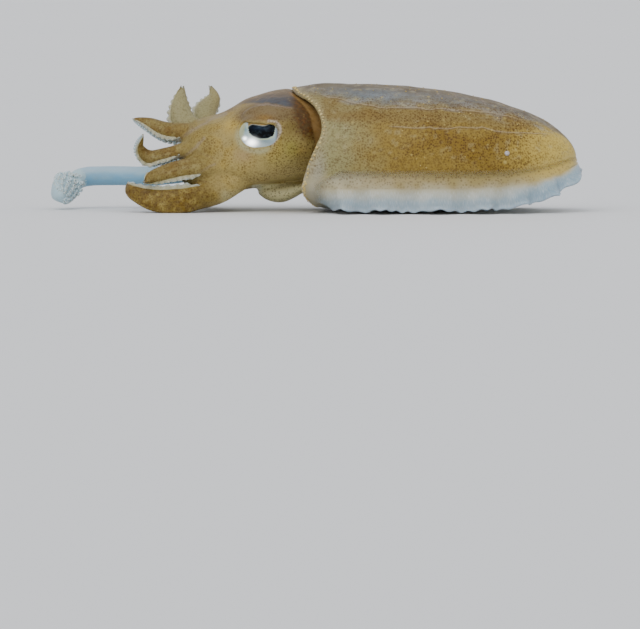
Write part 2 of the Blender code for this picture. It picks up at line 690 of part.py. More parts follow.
def make_stalk(name, line, radii):
    """A length of the tentacle: a round curve with filled caps, made a mesh."""
    curve = bpy.data.curves.new(name, "CURVE")
    curve.dimensions = "3D"
    curve.bevel_depth = MM
    curve.bevel_resolution = 3
    curve.use_fill_caps = True
    spline = curve.splines.new("POLY")
    spline.points.add(len(line) - 1)
    for point, place, radius in zip(spline.points, line, radii):
        point.co = (*(np.asarray(place) * MM), 1)
        point.radius = radius
    guide = bpy.data.objects.new(name + "_guide", curve)
    bpy.context.scene.collection.objects.link(guide)
    bpy.context.view_layer.update()
    graph = bpy.context.evaluated_depsgraph_get()
    mesh = bpy.data.meshes.new_from_object(guide.evaluated_get(graph))
    work = bmesh.new()
    work.from_mesh(mesh)
    bmesh.ops.remove_doubles(work, verts=work.verts, dist=0.001 * MM)
    bmesh.ops.recalc_face_normals(work, faces=work.faces)
    work.to_mesh(mesh)
    work.free()
    stalk = bpy.data.objects.new(name, mesh)
    stalk.matrix_world = guide.matrix_world
    bpy.context.scene.collection.objects.link(stalk)
    bpy.data.objects.remove(guide)
    paint(stalk, TENTACLE_WHITE, 0.3)
    return stalk


def make_tentacle():
    path = even_path(TENTACLE_LINE, 45)
    direction = unit(np.gradient(path, axis=0))
    first, second = (int(round(share * (len(path) - 1))) for share in TENTACLE_SPLITS)
    radii = np.interp(np.arange(second + 1), (0, first, second), (*STALK_RADIUS, STALK_RADIUS[1]))
    near_end, far_start = parted(path, direction, first)
    far_end, club_start = parted(path, direction, second)
    near = np.vstack([path[:first], near_end])
    near_radii = [*radii[:first], radii[first], radii[first]]
    stalk = make_stalk("tentacle_stalk_near", near, near_radii)
    boolean(stalk, "DIFFERENCE", [head_body("head_cutter", CUTTER_GROWTH)])
    far = np.vstack([far_start, path[first + 1: second], far_end])
    far_radii = [radii[first], radii[first], *radii[first + 1: second], radii[second], radii[second]]
    make_stalk("tentacle_stalk_far", far, far_radii)
    make_club(np.vstack([club_start[0], path[second + 1:]]), direction[second])


def parted(path, direction, index):
    """The last two points before a joint and the first two after it, square to the line."""
    place, ahead = path[index], direction[index]
    near, far = ahead * GAP / 2, ahead * (GAP / 2 + JOINT_STRAIGHT)
    return [place - far, place - near], [place + near, place + far]


def club_size(share):
    """The club's half width and half thickness at a share of its length, from the stalk's roundness on."""
    swell = float(ease(share / 0.35))
    shrink = (1 - share ** 4) ** 0.6
    half = (STALK_RADIUS[1] + (CLUB_HALF_WIDTH - STALK_RADIUS[1]) * swell) * shrink
    thick = (STALK_RADIUS[1] - (STALK_RADIUS[1] - CLUB_HALF_THICKNESS) * swell) * shrink
    tip = ARM_TIP_RADIUS * share
    return half + tip, thick + tip, CLUB_KEEL * swell * shrink


def make_club(line, start):
    """The broad club: a flattened paddle with a thin keel outside and rows of cups inside."""
    path = even_path(line, 13)
    face, side = frames_along(path, *CLUB_FACE, start)
    rings = []
    for i, centre in enumerate(path):
        half, thick, keel = club_size(i / (len(path) - 1))
        ring = []
        for k in range(12):
            angle = 2 * math.pi * k / 12
            u, v = math.cos(angle), math.sin(angle)
            v = thick * v if v > 0 else thick * v - keel * abs(v) ** 7
            ring.append(lifted(centre + side[i] * u * half + face[i] * v))
        rings.append(ring)
    club = loft("tentacle_club", rings)
    boolean(club, "UNION", club_suckers(path, face, side))
    paint(club, TENTACLE_WHITE, 0.3)
    return club


def club_suckers(path, face, side):
    """Three rows of cups over the inside of the club, the middle ones largest."""
    cups = []
    for i in range(3, len(path) - 1):
        half, thick, _ = club_size(i / (len(path) - 1))
        for spread, size in CLUB_CUP_ROWS:
            radius = size * (0.45 + 0.2 * half)
            place = path[i] + side[i] * spread * half + face[i] * thick * math.sqrt(1 - spread ** 2)
            outward = face[i] + side[i] * spread * CLUB_CUP_LEAN
            cups.append(sucker(f"club_cup_{len(cups)}", place, outward, radius))
    return cups


def make_funnel(around=14):
    """The flattened tube under the head, open at its front end."""
    rear, front = np.array(FUNNEL_LINE[0]), np.array(FUNNEL_LINE[1])
    inward = unit(rear - front)
    rings = []
    for share, width, height, hang in FUNNEL_SECTIONS:
        middle = rear + (front - rear) * share - np.array([0.0, 0.0, hang])
        rings.append(funnel_ring(middle, width, height, around))
    for depth, width, height in FUNNEL_MOUTH:
        rings.append(funnel_ring(front + inward * depth, width, height, around))
    funnel = loft("funnel", rings)
    boolean(funnel, "DIFFERENCE", [head_body("head_cutter", CUTTER_GROWTH)])
    paint(funnel, FUNNEL_OCHRE)
    return funnel


def funnel_ring(middle, width, height, around):
    ring = []
    for k in range(around):
        turn = 2 * math.pi * k / around
        across = FUNNEL_HALF_WIDTH * width * math.sin(turn)
        upward = FUNNEL_HALF_HEIGHT * height * math.cos(turn)
        ring.append(middle + np.array([0.0, across, upward]))
    return ring


def centre_over_origin(nodes):
    """Moves the model so that the origin lies under the middle of its box, on the floor."""
    corners = np.array([v.co for made in nodes for v in made.data.vertices])
    middle = (corners.min(axis=0) + corners.max(axis=0)) / 2
    for made in nodes:
        made.location = (-middle[0], -middle[1], 0.0)


def main():
    for old in list(bpy.data.objects):
        bpy.data.objects.remove(old)
    make_mantle()
    make_fin("fin_left", -1)
    make_fin("fin_right", 1)
    make_head()
    make_eye("eye_left", -1)
    make_eye("eye_right", 1)
    make_funnel()
    chance = np.random.default_rng(SEED)
    for name in ARMS:
        make_arm(name, chance)
    make_tentacle()
    home = bpy.data.collections.new("broadclub_cuttlefish")
    bpy.context.scene.collection.children.link(home)
    nodes = list(bpy.context.scene.collection.objects)
    for made in nodes:
        home.objects.link(made)
        bpy.context.scene.collection.objects.unlink(made)
        made.data.shade_smooth()
    centre_over_origin(nodes)


main()
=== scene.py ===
import math

import bmesh
import bpy
import numpy as np
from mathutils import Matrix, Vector, kdtree, noise


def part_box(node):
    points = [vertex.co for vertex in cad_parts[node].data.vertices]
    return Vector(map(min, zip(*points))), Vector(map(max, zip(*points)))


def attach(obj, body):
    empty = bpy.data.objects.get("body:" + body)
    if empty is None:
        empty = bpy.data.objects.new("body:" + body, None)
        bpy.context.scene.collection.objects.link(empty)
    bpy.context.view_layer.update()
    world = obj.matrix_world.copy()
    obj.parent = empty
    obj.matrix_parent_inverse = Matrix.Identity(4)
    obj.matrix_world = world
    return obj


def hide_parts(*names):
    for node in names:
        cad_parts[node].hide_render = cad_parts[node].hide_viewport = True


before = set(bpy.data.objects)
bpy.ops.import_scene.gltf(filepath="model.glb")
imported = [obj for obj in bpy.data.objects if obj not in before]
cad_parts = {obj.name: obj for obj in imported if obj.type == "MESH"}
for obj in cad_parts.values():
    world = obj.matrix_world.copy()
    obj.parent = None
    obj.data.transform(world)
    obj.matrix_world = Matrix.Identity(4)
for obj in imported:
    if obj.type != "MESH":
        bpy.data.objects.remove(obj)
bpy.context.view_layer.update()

# Sizes below are millimetres in the animal's own frame, which SHIFT moves to the frame's place
MM = 0.001
MANTLE_TAIL_X = 29.7
mantle_low, mantle_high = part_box("mantle")
SHIFT = np.array([mantle_high.x / MM - MANTLE_TAIL_X, (mantle_low.y + mantle_high.y) / 2 / MM, 0.0])

# The mantle
TAIL_TIP_Z = 11.0
MANTLE_WIDEST_X = -8.0
MANTLE_HALF_WIDTH = 17.2
MANTLE_PLAN_SHAPE = (2.3, 0.48)
MANTLE_FRONT_NARROWING = 0.0015
MANTLE_HIGHEST_X = -22.0
MANTLE_TOP_Z = 27.0
MANTLE_TOP_SHAPE = (2.2, 0.5)
MANTLE_FRONT_DROP = 0.0152
BELLY_REST_X = (-12.0, 0.0)
BELLY_FRONT_RISE = 0.008
BELLY_SINK = 0.4
WIDEST_Z = 6.8
MARGIN_ANGLES = (0, 20, 40, 60, 75, 90, 112, 138, 160, 180)
MARGIN_X = (-30.3, -29.2, -25.4, -24.0, -26.0, -27.8, -28.0, -27.3, -26.0, -25.2)
COLLAR_WALL = 0.9
POCKET_FLOOR_X = -20.6
POCKET_WALL = 2.3
COLLAR_END_X = -17.0
CORE_Z = 12.0  # the height that the mantle's wall looks in at
UPPER_POWER = 0.93  # how full the section is above its widest level
BELLY_POWER = 0.78
MANTLE_AROUND = 224
MANTLE_RINGS = (12, 5, 26, 112)  # in the pocket, round the lip, over the collar and along the body

# The fins
FIN_CRESTS = {
    "fin_left": (0.025, 0.1, 0.225, 0.42, 0.57, 0.69, 0.795, 0.89, 1.11),
    "fin_right": (0.06, 0.225, 0.38, 0.455, 0.595, 0.715, 0.825, 0.925, 1.08),
}
FIN_START_X = -25.8
FIN_ROOT_DROP = (1.5, 1.0)
FIN_REACH = (1.6, 5.2)
FIN_DROP = (4.5, 0.7)
FIN_GROWTH = 0.1  # of the fin's length, from nothing to its full width
FIN_APRON = 0.22  # of the sheet, the part that lies on the mantle's side
FIN_APRON_RISE = 4.4
FIN_ROOT_OUT = 0.8
FIN_THICKNESS = (0.8, 0.06)
# Small frills at the edge, outward and up: height, waves, how far they wander and how often
FIN_FRILLS = ((0.22, 95, 2.2, 17), (0.18, 140, 1.7, 23))

# The head: station, middle, half width, underside and top
HEAD_STATIONS = (
    (-20.95, 0.0, 9.6, 8.4, 22.4),
    (-24.5, 0.8, 11.6, 7.4, 24.0),
    (-28.0, 2.4, 14.8, 6.7, 25.2),
    (-31.0, 3.2, 16.7, 6.2, 25.7),
    (-34.0, 3.3, 16.8, 5.6, 25.4),
    (-37.0, 3.2, 15.9, 4.9, 24.6),
    (-40.0, 3.5, 14.5, 4.4, 23.6),
    (-43.0, 3.8, 13.6, 3.8, 21.8),
    (-46.0, 4.0, 13.0, 3.1, 20.4),
    (-49.0, 4.2, 12.2, 3.0, 19.6),
    (-51.6, 4.3, 10.8, 3.9, 18.5),
    (-53.3, 4.3, 8.2, 5.8, 16.4),
)
HEAD_FRONT_TIP = (-53.9, 4.3, 10.9)
NECK_WALL = 1.15
NECK_SLOPE = 2.1
NECK_CORE_Z = 14.0
COLLAR_REACH_X = -30.3
EYE_X = -36.6
EYE_Z = 16.6
EYE_TURN = math.radians(25)
EYE_HALF_SIZES = (5.2, 3.2, 3.9)
EYE_INSET = 2.5
LID_LINE = 2.15  # of the upper lid's edge, above the eye's middle
# The pupil's outline, along and above the eye's middle
PUPIL_TOP = (
    (-2.87, 1.45), (-2.26, 1.88), (-0.95, 1.86), (0.59, 1.72),
    (1.35, 1.95), (2.0, 2.22), (2.7, 2.3), (2.93, 2.0),
)
PUPIL_BOTTOM = (
    (-2.87, 1.4), (-2.75, 0.7), (-2.3, -0.05), (-1.3, -0.7),
    (0.36, -0.92), (1.84, -0.58), (2.66, 0.3), (2.93, 1.6),
)
# From the eye's middle: along the head, outward and up
BROW = ((0.3, -1.5, 3.5), (5.4, 2.9, 2.6))
UPPER_LID_COVER = (0.55, 0.62, 0.5)
LID_RING_PLACE = (0.0, 1.15, -0.1)
LID_RING = (4.75, 3.7)
LID_RING_STOCK = 0.62

# Each arm: its line, the way its sucker face looks at the root and the tip, half width, depth, keel
ARMS = {
    "arm_left_1": (
        ((-46, 1.4, 15.2), (-51.0, 2.7, 15.7), (-56.5, 5.0, 16.1), (-60.6, 6.1, 17.8), (-64.1, 5.6, 19.3)),
        (0.1, 0.0, -1.0), (-0.2, 0.0, -1.0), 2.9, 0.88, 0.0),
    "arm_left_2": (
        ((-46, -3.6, 12.6), (-51.0, -3.3, 12.9), (-56.4, -2.0, 11.5), (-60.6, -1.6, 11.1),
         (-62.7, -2.7, 13.4), (-61.6, -4.0, 16.3)),
        (0.1, 0.1, -1.0), (-1.0, 0.1, 0.0), 2.45, 0.8, 0.0),
    "arm_left_3": (
        ((-42, -5.7, 9.7), (-49, -7.7, 9.6), (-55.2, -8.8, 8.6), (-59.4, -10.5, 7.5), (-61.3, -13.6, 6.3)),
        (0.1, 0.5, -1.0), (-1.0, 0.0, -0.7), 2.75, 0.75, 0.0),
    "arm_left_4": (
        ((-39.5, -4.0, 7.4), (-45.8, -7.3, 4.5), (-52.4, -9.2, 3.1), (-58.4, -9.5, 3.0),
         (-62.9, -8.0, 4.2), (-64.4, -5.0, 5.4), (-63.4, -2.2, 6.0)),
        (0.0, 0.75, 0.8), (0.6, 0.6, 0.6), 2.9, 0.85, 0.9),
    "arm_right_1": (
        ((-45, 8.0, 15.4), (-50.0, 9.0, 16.6), (-53.4, 10.8, 18.8), (-54.0, 12.6, 22.4), (-53.7, 14.2, 26.2)),
        (-0.1, 0.3, -1.0), (-0.3, 1.0, 0.0), 2.75, 0.66, 0.0),
    "arm_right_2": (
        ((-42.4, 12.8, 13.8), (-47.4, 15.6, 16.6), (-49.0, 18.6, 20.0), (-47.0, 22.4, 23.4),
         (-48.0, 24.8, 25.9)),
        (-0.4, 0.3, -0.9), (-0.5, 0.9, -0.6), 2.4, 0.68, 0.0),
    "arm_right_3": (
        ((-42, 13.0, 9.6), (-47.6, 16.8, 10.0), (-51.8, 19.6, 10.2), (-55.2, 20.6, 12.6)),
        (-0.4, 0.0, -1.0), (-1.0, -0.2, -0.4), 2.4, 0.75, 0.0),
    "arm_right_4": (
        ((-39.5, 11.2, 7.6), (-45.8, 15.7, 4.8), (-52.4, 19.2, 3.2), (-57.8, 20.6, 2.9), (-62.0, 18.9, 4.2),
         (-62.9, 17.3, 5.8)),
        (0.0, -0.3, 1.0), (0.6, -0.4, 0.9), 2.9, 0.85, 0.9),
}
ARM_TIP_RADIUS = 0.25
ARM_END = 1.25  # the higher, the longer the point
FULL_ENDS = {"arm_left_1": 0.85, "arm_left_2": 0.85}
KEEL_START = 0.3
KEEL_GROWTH = 0.28
ARM_STEPS = 70
ARM_AROUND = 28
FACE_HEIGHT = 0.62  # of the arm's depth, how far the sucker face stands out
FACE_POWER = 0.75
MEMBRANE_SPAN = (0.3, 0.995)  # of the arm
MEMBRANE_REACH = 0.42  # for each unit of the arm's half width
MEMBRANE_THICKNESS = (0.36, 0.1)
SCALLOPS = 11
CUP_ROWS = (-0.58, -0.2, 0.2, 0.58)
CUP_SHARES = (0.36, 0.985)
CUP_RADIUS = (0.16, 0.12)  # for each unit of the arm's half width, and at least
CUP_SPACING = (1.12, 2.05)  # in radii, on the arms and on the club
ARM_WEBS = (  # skin between the roots of the lowest arms: middle and half sizes
    ((-48.6, -7.9, 7.2), (5.2, 2.0, 2.0)),
    ((-46.0, 14.0, 7.4), (4.0, 2.4, 2.0)),
)

# The tentacle, its club and the funnel
TENTACLE_LINE = (
    (-46.6, 9.2, 8.6), (-48.6, 9.6, 8.2), (-55.0, 11.0, 7.3), (-61.6, 13.8, 6.9), (-68.6, 15.2, 6.9),
    (-74.4, 14.4, 6.7), (-77.7, 12.0, 5.4), (-79.2, 8.2, 3.8), (-79.0, 3.6, 3.0),
)
TENTACLE_STEPS = 120
CLUB_SHARE = 0.704
STALK_RADIUS = (1.75, 2.1)
STALK_OVERLAP = 4  # steps that the stalk reaches into the club
CLUB_FACE = ((0.6, 0.5, 0.6), (0.9, 0.1, 0.5))
CLUB_HALF_WIDTH = 3.0
CLUB_HALF_THICKNESS = 1.3
CLUB_KEEL = 1.2
CLUB_LOBES = 5  # along the keel's edge
CLUB_ROWS = (  # degrees round the club from its side, a cup's radius, and where the row starts
    (112, 0.6, 0.2), (80, 0.66, 0.26), (50, 0.5, 0.18), (142, 0.46, 0.16), (22, 0.4, 0.18),
    (-8, 0.4, 0.3), (172, 0.46, 0.2), (203, 0.4, 0.34),
)
FUNNEL_LINE = ((-22.0, 1.4, 5.4), (-37.6, 2.2, 4.15))
FUNNEL_HALF_WIDTH = 5.2
FUNNEL_HALF_HEIGHT = 2.2
FUNNEL_MOUTH_DEPTH = 2.6
# Along the funnel from its rear: share of the length, of the full width and height, and how far it hangs
FUNNEL_SECTIONS = (
    (0.0, 0.8, 0.6, 0.2), (0.22, 0.95, 0.66, 0.0), (0.385, 1.0, 0.68, -0.25), (0.5, 0.98, 0.84, 0.25),
    (0.6, 0.92, 0.96, 0.58), (0.7, 0.86, 1.0, 0.64), (0.81, 0.76, 0.91, 0.48), (0.91, 0.62, 0.66, 0.25),
    (0.96, 0.5, 0.44, 0.12), (1.0, 0.36, 0.24, 0.0),
)

# Pale lines that run from between the arms over the head's side, along and up
FLANK_STREAKS = (
    ((-57.2, 13.8), (-54.4, 15.0), (-51.4, 17.0), (-46.8, 19.6), (-44.2, 20.6)),
    ((-60.1, 9.8), (-56.1, 10.8), (-53.1, 11.6), (-50.6, 13.5), (-48.7, 15.6)),
    ((-53.5, 7.4), (-50.0, 8.2), (-46.5, 10.2)),
)

# The pale rim behind the eye and the grey skin inside it, along and above the eye's middle
EYE_REAR_RIM = ((1.4, 2.8), (3.05, 2.6), (3.85, 1.7), (4.0, 0.55), (3.3, -0.9), (2.3, -2.05))
EYE_REAR_SILVER = ((3.2, 1.7), (3.45, 0.6), (3.0, -0.6))

# The two long creases of each flank, along and up
UPPER_CREASE = ((-26, 25.4), (-17.4, 23.3), (-11.3, 22.1), (0, 21.9), (11.7, 21.0), (17.8, 19.3), (22, 17.6))
LOWER_CREASE = (
    (-12, 18.6), (-10.5, 18.3), (-0.8, 17.9), (9.7, 17.9), (13.7, 16.9), (21.8, 16.6), (25.1, 15.9),
)
# Each crease with its width, and where it starts and ends, each with the length that this takes
CREASES = ((UPPER_CREASE, 0.3, -25, 3, 20, 6), (LOWER_CREASE, 0.28, -11, 3, 25, 3))

# Beads along the margin: radius over the back and below it, the angle between, and the gaps
BEAD_RADIUS = (0.27, 0.17)
BEAD_CHANGE = 1.9
BEAD_GAPS = (0.5, 0.95)
NODULE = (14.7, math.radians(-71.5))  # the one large pale bump on the left flank
NODULE_RADIUS = 0.55
BACK_BUMPS = 110  # places tried for small bumps over the back

# Borders of colour, along and up: over the fin, and the fold above the eye
FIN_SHADE = ((-30, -20, 0, 12, 22, 29.7), (6.2, 5.5, 5.3, 5.6, 7.6, 10.6))
BROW_FOLD = ((-43, -40.7, -35.3, -29.7), (21.8, 22.5, 22.8, 21.9))
HEAD_MIDDLE_Y = 3.3
# Soft spots on the head's sides: colour, place along and up, half sizes and strength
HEAD_SPOTS = (
    ((198, 176, 122), (-43.4, 18.4), (1.6, 1.8), 0.8),
    ((168, 144, 126), (-40.5, 11.5), (2.0, 1.6), 0.75),
    ((180, 162, 112), (-41.5, 9.6), (4.5, 2.2), 0.5),
    ((160, 152, 98), (-30.6, 13.4), (2.2, 2.6), 0.8),
    ((172, 160, 104), (-33.6, 10.9), (2.6, 2.0), 0.7),
    ((104, 90, 56), (-30.6, 18.2), (2.2, 2.4), 0.85),
)

FRAME_WIDTH = 0.1352  # metres across the picture at the animal
CAMERA_DISTANCE = 1.5
CAMERA_ELEVATION = math.radians(3.1)
PICTURE_MIDDLE = (-24.4, 0.0, -21.9)

SKIN_VOXEL = 0.34
SKIN_SMOOTHING = 7  # rounds that soften the joins
MANTLE_RELIEF = (0.16, 0.07, 0.16)  # heights of broad folds, fine wrinkles and the long creases
HEAD_RELIEF = (0.05, 0.04, 0.0)
HEAD_RINGS = (84, 96)  # along and round
CLUB_RINGS = (50, 36)
FUNNEL_RINGS = (34, 48)
FIN_GRID = (520, 22)  # along and across
MEMBRANE_GRID = (120, 5)
EYEBALL_RINGS = (160, 110)  # round and along
MERGE_DISTANCE = 0.001
# How far from an arm's and the tentacle's line its own colours reach
ARM_COLOUR_REACH = 4.2
TENTACLE_COLOUR_REACH = 3.9
CREASE_LINE = 0.14  # half the width of a painted crease
TONE_STRENGTH = 0.72
TONE_PURITY = 1.4
FLESH_NODES = [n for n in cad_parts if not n.startswith(("fin_", "eye_"))]


# Curves and forms

def ease(value):
    value = np.clip(value, 0.0, 1.0)
    return value * value * (3 - 2 * value)


def unit(vectors):
    vectors = np.asarray(vectors, float)
    return vectors / np.maximum(np.linalg.norm(vectors, axis=-1, keepdims=True), 1e-9)


def smooth_value(places, values, place):
    """A smooth curve through the values at those places, read at one place."""
    places, values = np.asarray(places, float), np.asarray(values, float)
    if places[0] > places[-1]:
        places, values = places[::-1], values[::-1]
    slopes = np.gradient(values, places)
    i = int(np.clip(np.searchsorted(places, place) - 1, 0, len(places) - 2))
    step = places[i + 1] - places[i]
    t = np.clip((place - places[i]) / step, 0.0, 1.0)
    return (
        values[i] * (1 + 2 * t) * (1 - t) ** 2
        + slopes[i] * step * t * (1 - t) ** 2
        + values[i + 1] * t * t * (3 - 2 * t)
        + slopes[i + 1] * step * t * t * (t - 1)
    )


def even_path(line, count):
    """Evenly spaced points on a smooth curve through the line's own points."""
    line = np.asarray(line, float)
    ends = np.vstack([2 * line[0] - line[1], line, 2 * line[-1] - line[-2]])
    fine = []
    for a, b, c, d in zip(ends, ends[1:], ends[2:], ends[3:]):
        for t in np.linspace(0, 1, 24, endpoint=False):
            fine.append(
                0.5 * (2 * b + (c - a) * t + (2 * a - 5 * b + 4 * c - d) * t * t
                       + (3 * b - a - 3 * c + d) * t ** 3)
            )
    fine = np.array(fine + [line[-1]])
    along = np.concatenate([[0], np.cumsum(np.linalg.norm(np.diff(fine, axis=0), axis=1))])
    wanted = np.linspace(0, along[-1], count)
    return np.stack([np.interp(wanted, along, fine[:, k]) for k in range(3)], axis=1)


def frames_along(path, face_root, face_tip):
    """For each point of a path: the way its sucker face looks, and its side."""
    forward = unit(np.gradient(path, axis=0))
    share = ease(np.linspace(0, 1, len(path)))[:, None]
    face = unit(face_root) * (1 - share) + unit(face_tip) * share
    face = unit(face - forward * (face * forward).sum(1, keepdims=True))
    return face, np.cross(forward, face)


def rounded_end(share, powers):
    """1 at share 0, rounded off to 0 at share 1."""
    return max(0.0, 1 - max(0.0, share) ** powers[0]) ** powers[1]


def mantle_half_width(x):
    if x < MANTLE_WIDEST_X:
        return MANTLE_HALF_WIDTH - MANTLE_FRONT_NARROWING * (x - MANTLE_WIDEST_X) ** 2
    share = (x - MANTLE_WIDEST_X) / (MANTLE_TAIL_X - MANTLE_WIDEST_X)
    return MANTLE_HALF_WIDTH * rounded_end(share, MANTLE_PLAN_SHAPE)


def mantle_top(x):
    if x < MANTLE_HIGHEST_X:
        return MANTLE_TOP_Z - MANTLE_FRONT_DROP * (x - MANTLE_HIGHEST_X) ** 2
    share = (x - MANTLE_HIGHEST_X) / (MANTLE_TAIL_X - MANTLE_HIGHEST_X)
    return TAIL_TIP_Z + (MANTLE_TOP_Z - TAIL_TIP_Z) * rounded_end(share, MANTLE_TOP_SHAPE)


def tail_share(x):
    return max(0.0, x - BELLY_REST_X[1]) / (MANTLE_TAIL_X - BELLY_REST_X[1])


def mantle_underside(x):
    rise = 1 - rounded_end(tail_share(x), (2, 0.5))
    front = BELLY_FRONT_RISE * max(0.0, BELLY_REST_X[0] - x) ** 2
    return -BELLY_SINK + front + (TAIL_TIP_Z + BELLY_SINK) * rise


def widest_level(x):
    return WIDEST_Z + (TAIL_TIP_Z - WIDEST_Z) * tail_share(x) ** 3


def mantle_point(x, angle):
    """A point of the mantle's surface, at an angle from the back's midline, towards +Y."""
    sideways, upward = math.sin(angle), math.cos(angle)
    level = widest_level(x)
    y = mantle_half_width(x) * math.copysign(abs(sideways) ** UPPER_POWER, sideways)
    if upward > 0:
        z = level + (mantle_top(x) - level) * upward ** UPPER_POWER
    else:
        z = level - (level - mantle_underside(x)) * abs(upward) ** BELLY_POWER
    return np.array([x, y, max(z, 0.0)])


def inside_mantle(x, angle, wall):
    """A point that deep under the mantle's surface."""
    here = mantle_point(x, angle)[1:]
    before, after = (mantle_point(x, angle + turn)[1:] for turn in (-0.02, 0.02))
    along = unit(after - before)
    inward = np.array([along[1], -along[0]])
    if inward @ (np.array([0.0, CORE_Z]) - here) < 0:
        inward = -inward
    y, z = here + inward * wall
    return np.array([x, y, z])


def margin_x(angle):
    turned = abs((math.degrees(angle) + 180) % 360 - 180)
    return smooth_value(MARGIN_ANGLES, MARGIN_X, turned)


def eye_frame(side):
    """The eyeball's middle, and its directions along the head, outward and up."""
    table = np.array(HEAD_STATIONS)
    middle, half = (smooth_value(table[:, 0], table[:, k], EYE_X) for k in (1, 2))
    along = np.array([math.cos(EYE_TURN), side * math.sin(EYE_TURN), 0.0])
    outward = np.array([-math.sin(EYE_TURN), side * math.cos(EYE_TURN), 0.0])
    place = np.array([EYE_X, middle + side * (half - EYE_INSET), EYE_Z])
    return place, np.array([along, outward, [0.0, 0.0, 1.0]])


def taper(share, end=ARM_END):
    """An arm's width along its length, about 1 at its widest."""
    return (0.72 + 0.28 * float(ease(share / 0.3))) * (1 - share ** 4) ** end


def arm_half(form, share):
    """The arm's half width at a share of its length."""
    return form[3] * taper(share, form[6]) + ARM_TIP_RADIUS


def on_arm(form, share):
    """The arm's middle, the way its sucker face looks and its side, at a share of its length."""
    at = share * (len(form[0]) - 1)
    i = min(int(at), len(form[0]) - 2)
    part = at - i
    return [a[i] * (1 - part) + a[i + 1] * part for a in form[:3]]


def round_turns(around):
    """Cosines and sines of even turns round a ring."""
    angle = 2 * math.pi * np.arange(around) / around
    return np.cos(angle), np.sin(angle)


def club_size(share):
    """The club's half width, half thickness and keel at a share of its length."""
    swell = float(ease(share / 0.35))
    shrink = (1 - share ** 4) ** 0.6
    half = (STALK_RADIUS[1] + (CLUB_HALF_WIDTH - STALK_RADIUS[1]) * swell) * shrink
    thick = (STALK_RADIUS[1] - (STALK_RADIUS[1] - CLUB_HALF_THICKNESS) * swell) * shrink
    tip = ARM_TIP_RADIUS * share
    return half + tip, thick + tip, CLUB_KEEL * swell * shrink


# Making pieces in Blender

def deselect():
    bpy.ops.object.select_all(action="DESELECT")


def activate(piece):
    deselect()
    piece.select_set(True)
    bpy.context.view_layer.objects.active = piece


def to_frame(points):
    """Points in the animal's millimetres, moved to the frame and given in metres."""
    return (np.asarray(points, float) + SHIFT) * MM


def vectors_of(items, kind):
    """One row of three numbers for each of a mesh's items."""
    flat = np.empty(len(items) * 3)
    items.foreach_get(kind, flat)
    return flat.reshape(-1, 3)


def animal_points(piece):
    """A piece's vertices in the animal's millimetres."""
    return vectors_of(piece.data.vertices, "co") / MM - SHIFT


def set_points(piece, points):
    piece.data.vertices.foreach_set("co", to_frame(points).ravel())
    piece.data.update()


def above_floor(points):
    """Lifts what lies below the floor onto it."""
    points[:, 2] = np.maximum(points[:, 2], 0.0)
    return points


def primitive(name, add, **sizes):
    """Adds a primitive of that name, and gives it with its points."""
    deselect()
    add(**sizes)
    piece = bpy.context.object
    piece.name = name
    return piece, vectors_of(piece.data.vertices, "co")


def ball(name, around, rows):
    return primitive(name, bpy.ops.mesh.primitive_uv_sphere_add, segments=around, ring_count=rows, radius=1.0)


def face_outward(piece):
    """Merges what lies in one place and turns every face outward."""
    activate(piece)
    bpy.ops.object.mode_set(mode="EDIT")
    bpy.ops.mesh.select_all(action="SELECT")
    bpy.ops.mesh.remove_doubles(threshold=MERGE_DISTANCE * MM)
    bpy.ops.mesh.normals_make_consistent(inside=False)
    bpy.ops.object.mode_set(mode="OBJECT")
    return piece


def moulded(name, rings, end=None):
    """A sphere whose rows are drawn out to the rings given, and its last pole to the end."""
    rings = np.array(rings, float)
    rows, around = len(rings) + 1, rings.shape[1]
    piece, co = ball(name, around, rows)
    row = np.rint(np.arccos(np.clip(co[:, 2], -1, 1)) / math.pi * rows).astype(int)
    turn = np.rint(np.arctan2(co[:, 1], co[:, 0]) / (2 * math.pi) * around).astype(int) % around
    points = rings[np.clip(row - 1, 0, rows - 2), turn]
    points[row == 0] = rings[0].mean(axis=0)
    points[row == rows] = rings[-1].mean(axis=0) if end is None else end
    set_points(piece, points)
    return face_outward(piece)


def oval(name, middle, half_sizes, axes, around=40, rows=20):
    """A sphere scaled to an ellipsoid with its half sizes along three directions."""
    piece, co = ball(name, around, rows)
    set_points(piece, middle + (co * half_sizes) @ axes)
    return face_outward(piece)


def ring_tube(name, middle, half_across, half_up, thickness, across):
    """An oval ring of round stock, a torus drawn out to the lid's outline."""
    stock = 0.25
    piece, co = primitive(name, bpy.ops.mesh.primitive_torus_add, major_segments=72, minor_segments=12,
                          major_radius=1.0, minor_radius=stock)
    up = np.array([0.0, 0.0, 1.0])
    turn = np.arctan2(co[:, 1], co[:, 0])
    scale = thickness / stock
    outward = (np.linalg.norm(co[:, :2], axis=1) - 1.0) * scale
    u, v = np.cos(turn) * (half_across + outward), np.sin(turn) * (half_up + outward)
    axis = np.cross(across, up)
    set_points(piece, middle + u[:, None] * across + v[:, None] * up + (co[:, 2:] * scale) * axis)
    return face_outward(piece)


def joined(name, pieces):
    deselect()
    for piece in pieces:
        piece.select_set(True)
    bpy.context.view_layer.objects.active = pieces[0]
    bpy.ops.object.join()
    pieces[0].name = name
    return pieces[0]


def finished(piece, kind, **values):
    """Adds a modifier with those values and applies it."""
    activate(piece)
    step = piece.modifiers.new(kind, kind)
    for key, value in values.items():
        setattr(step, key, value)
    bpy.ops.object.modifier_apply(modifier=step.name)


def settled(piece):
    """Applies the piece's place and smooths its shading."""
    activate(piece)
    bpy.ops.object.transform_apply(location=True, rotation=True, scale=True)
    bpy.ops.object.shade_smooth()


def flesh_noise(points, size, stretch=(1.0, 1.0, 1.0), seed=0.0):
    """Smooth noise from -1 to 1 at every point, with lumps of about that size."""
    scaled = points * (np.array(stretch) / size) + seed
    return np.array([noise.noise(Vector(p)) for p in scaled])


# The mantle's skin

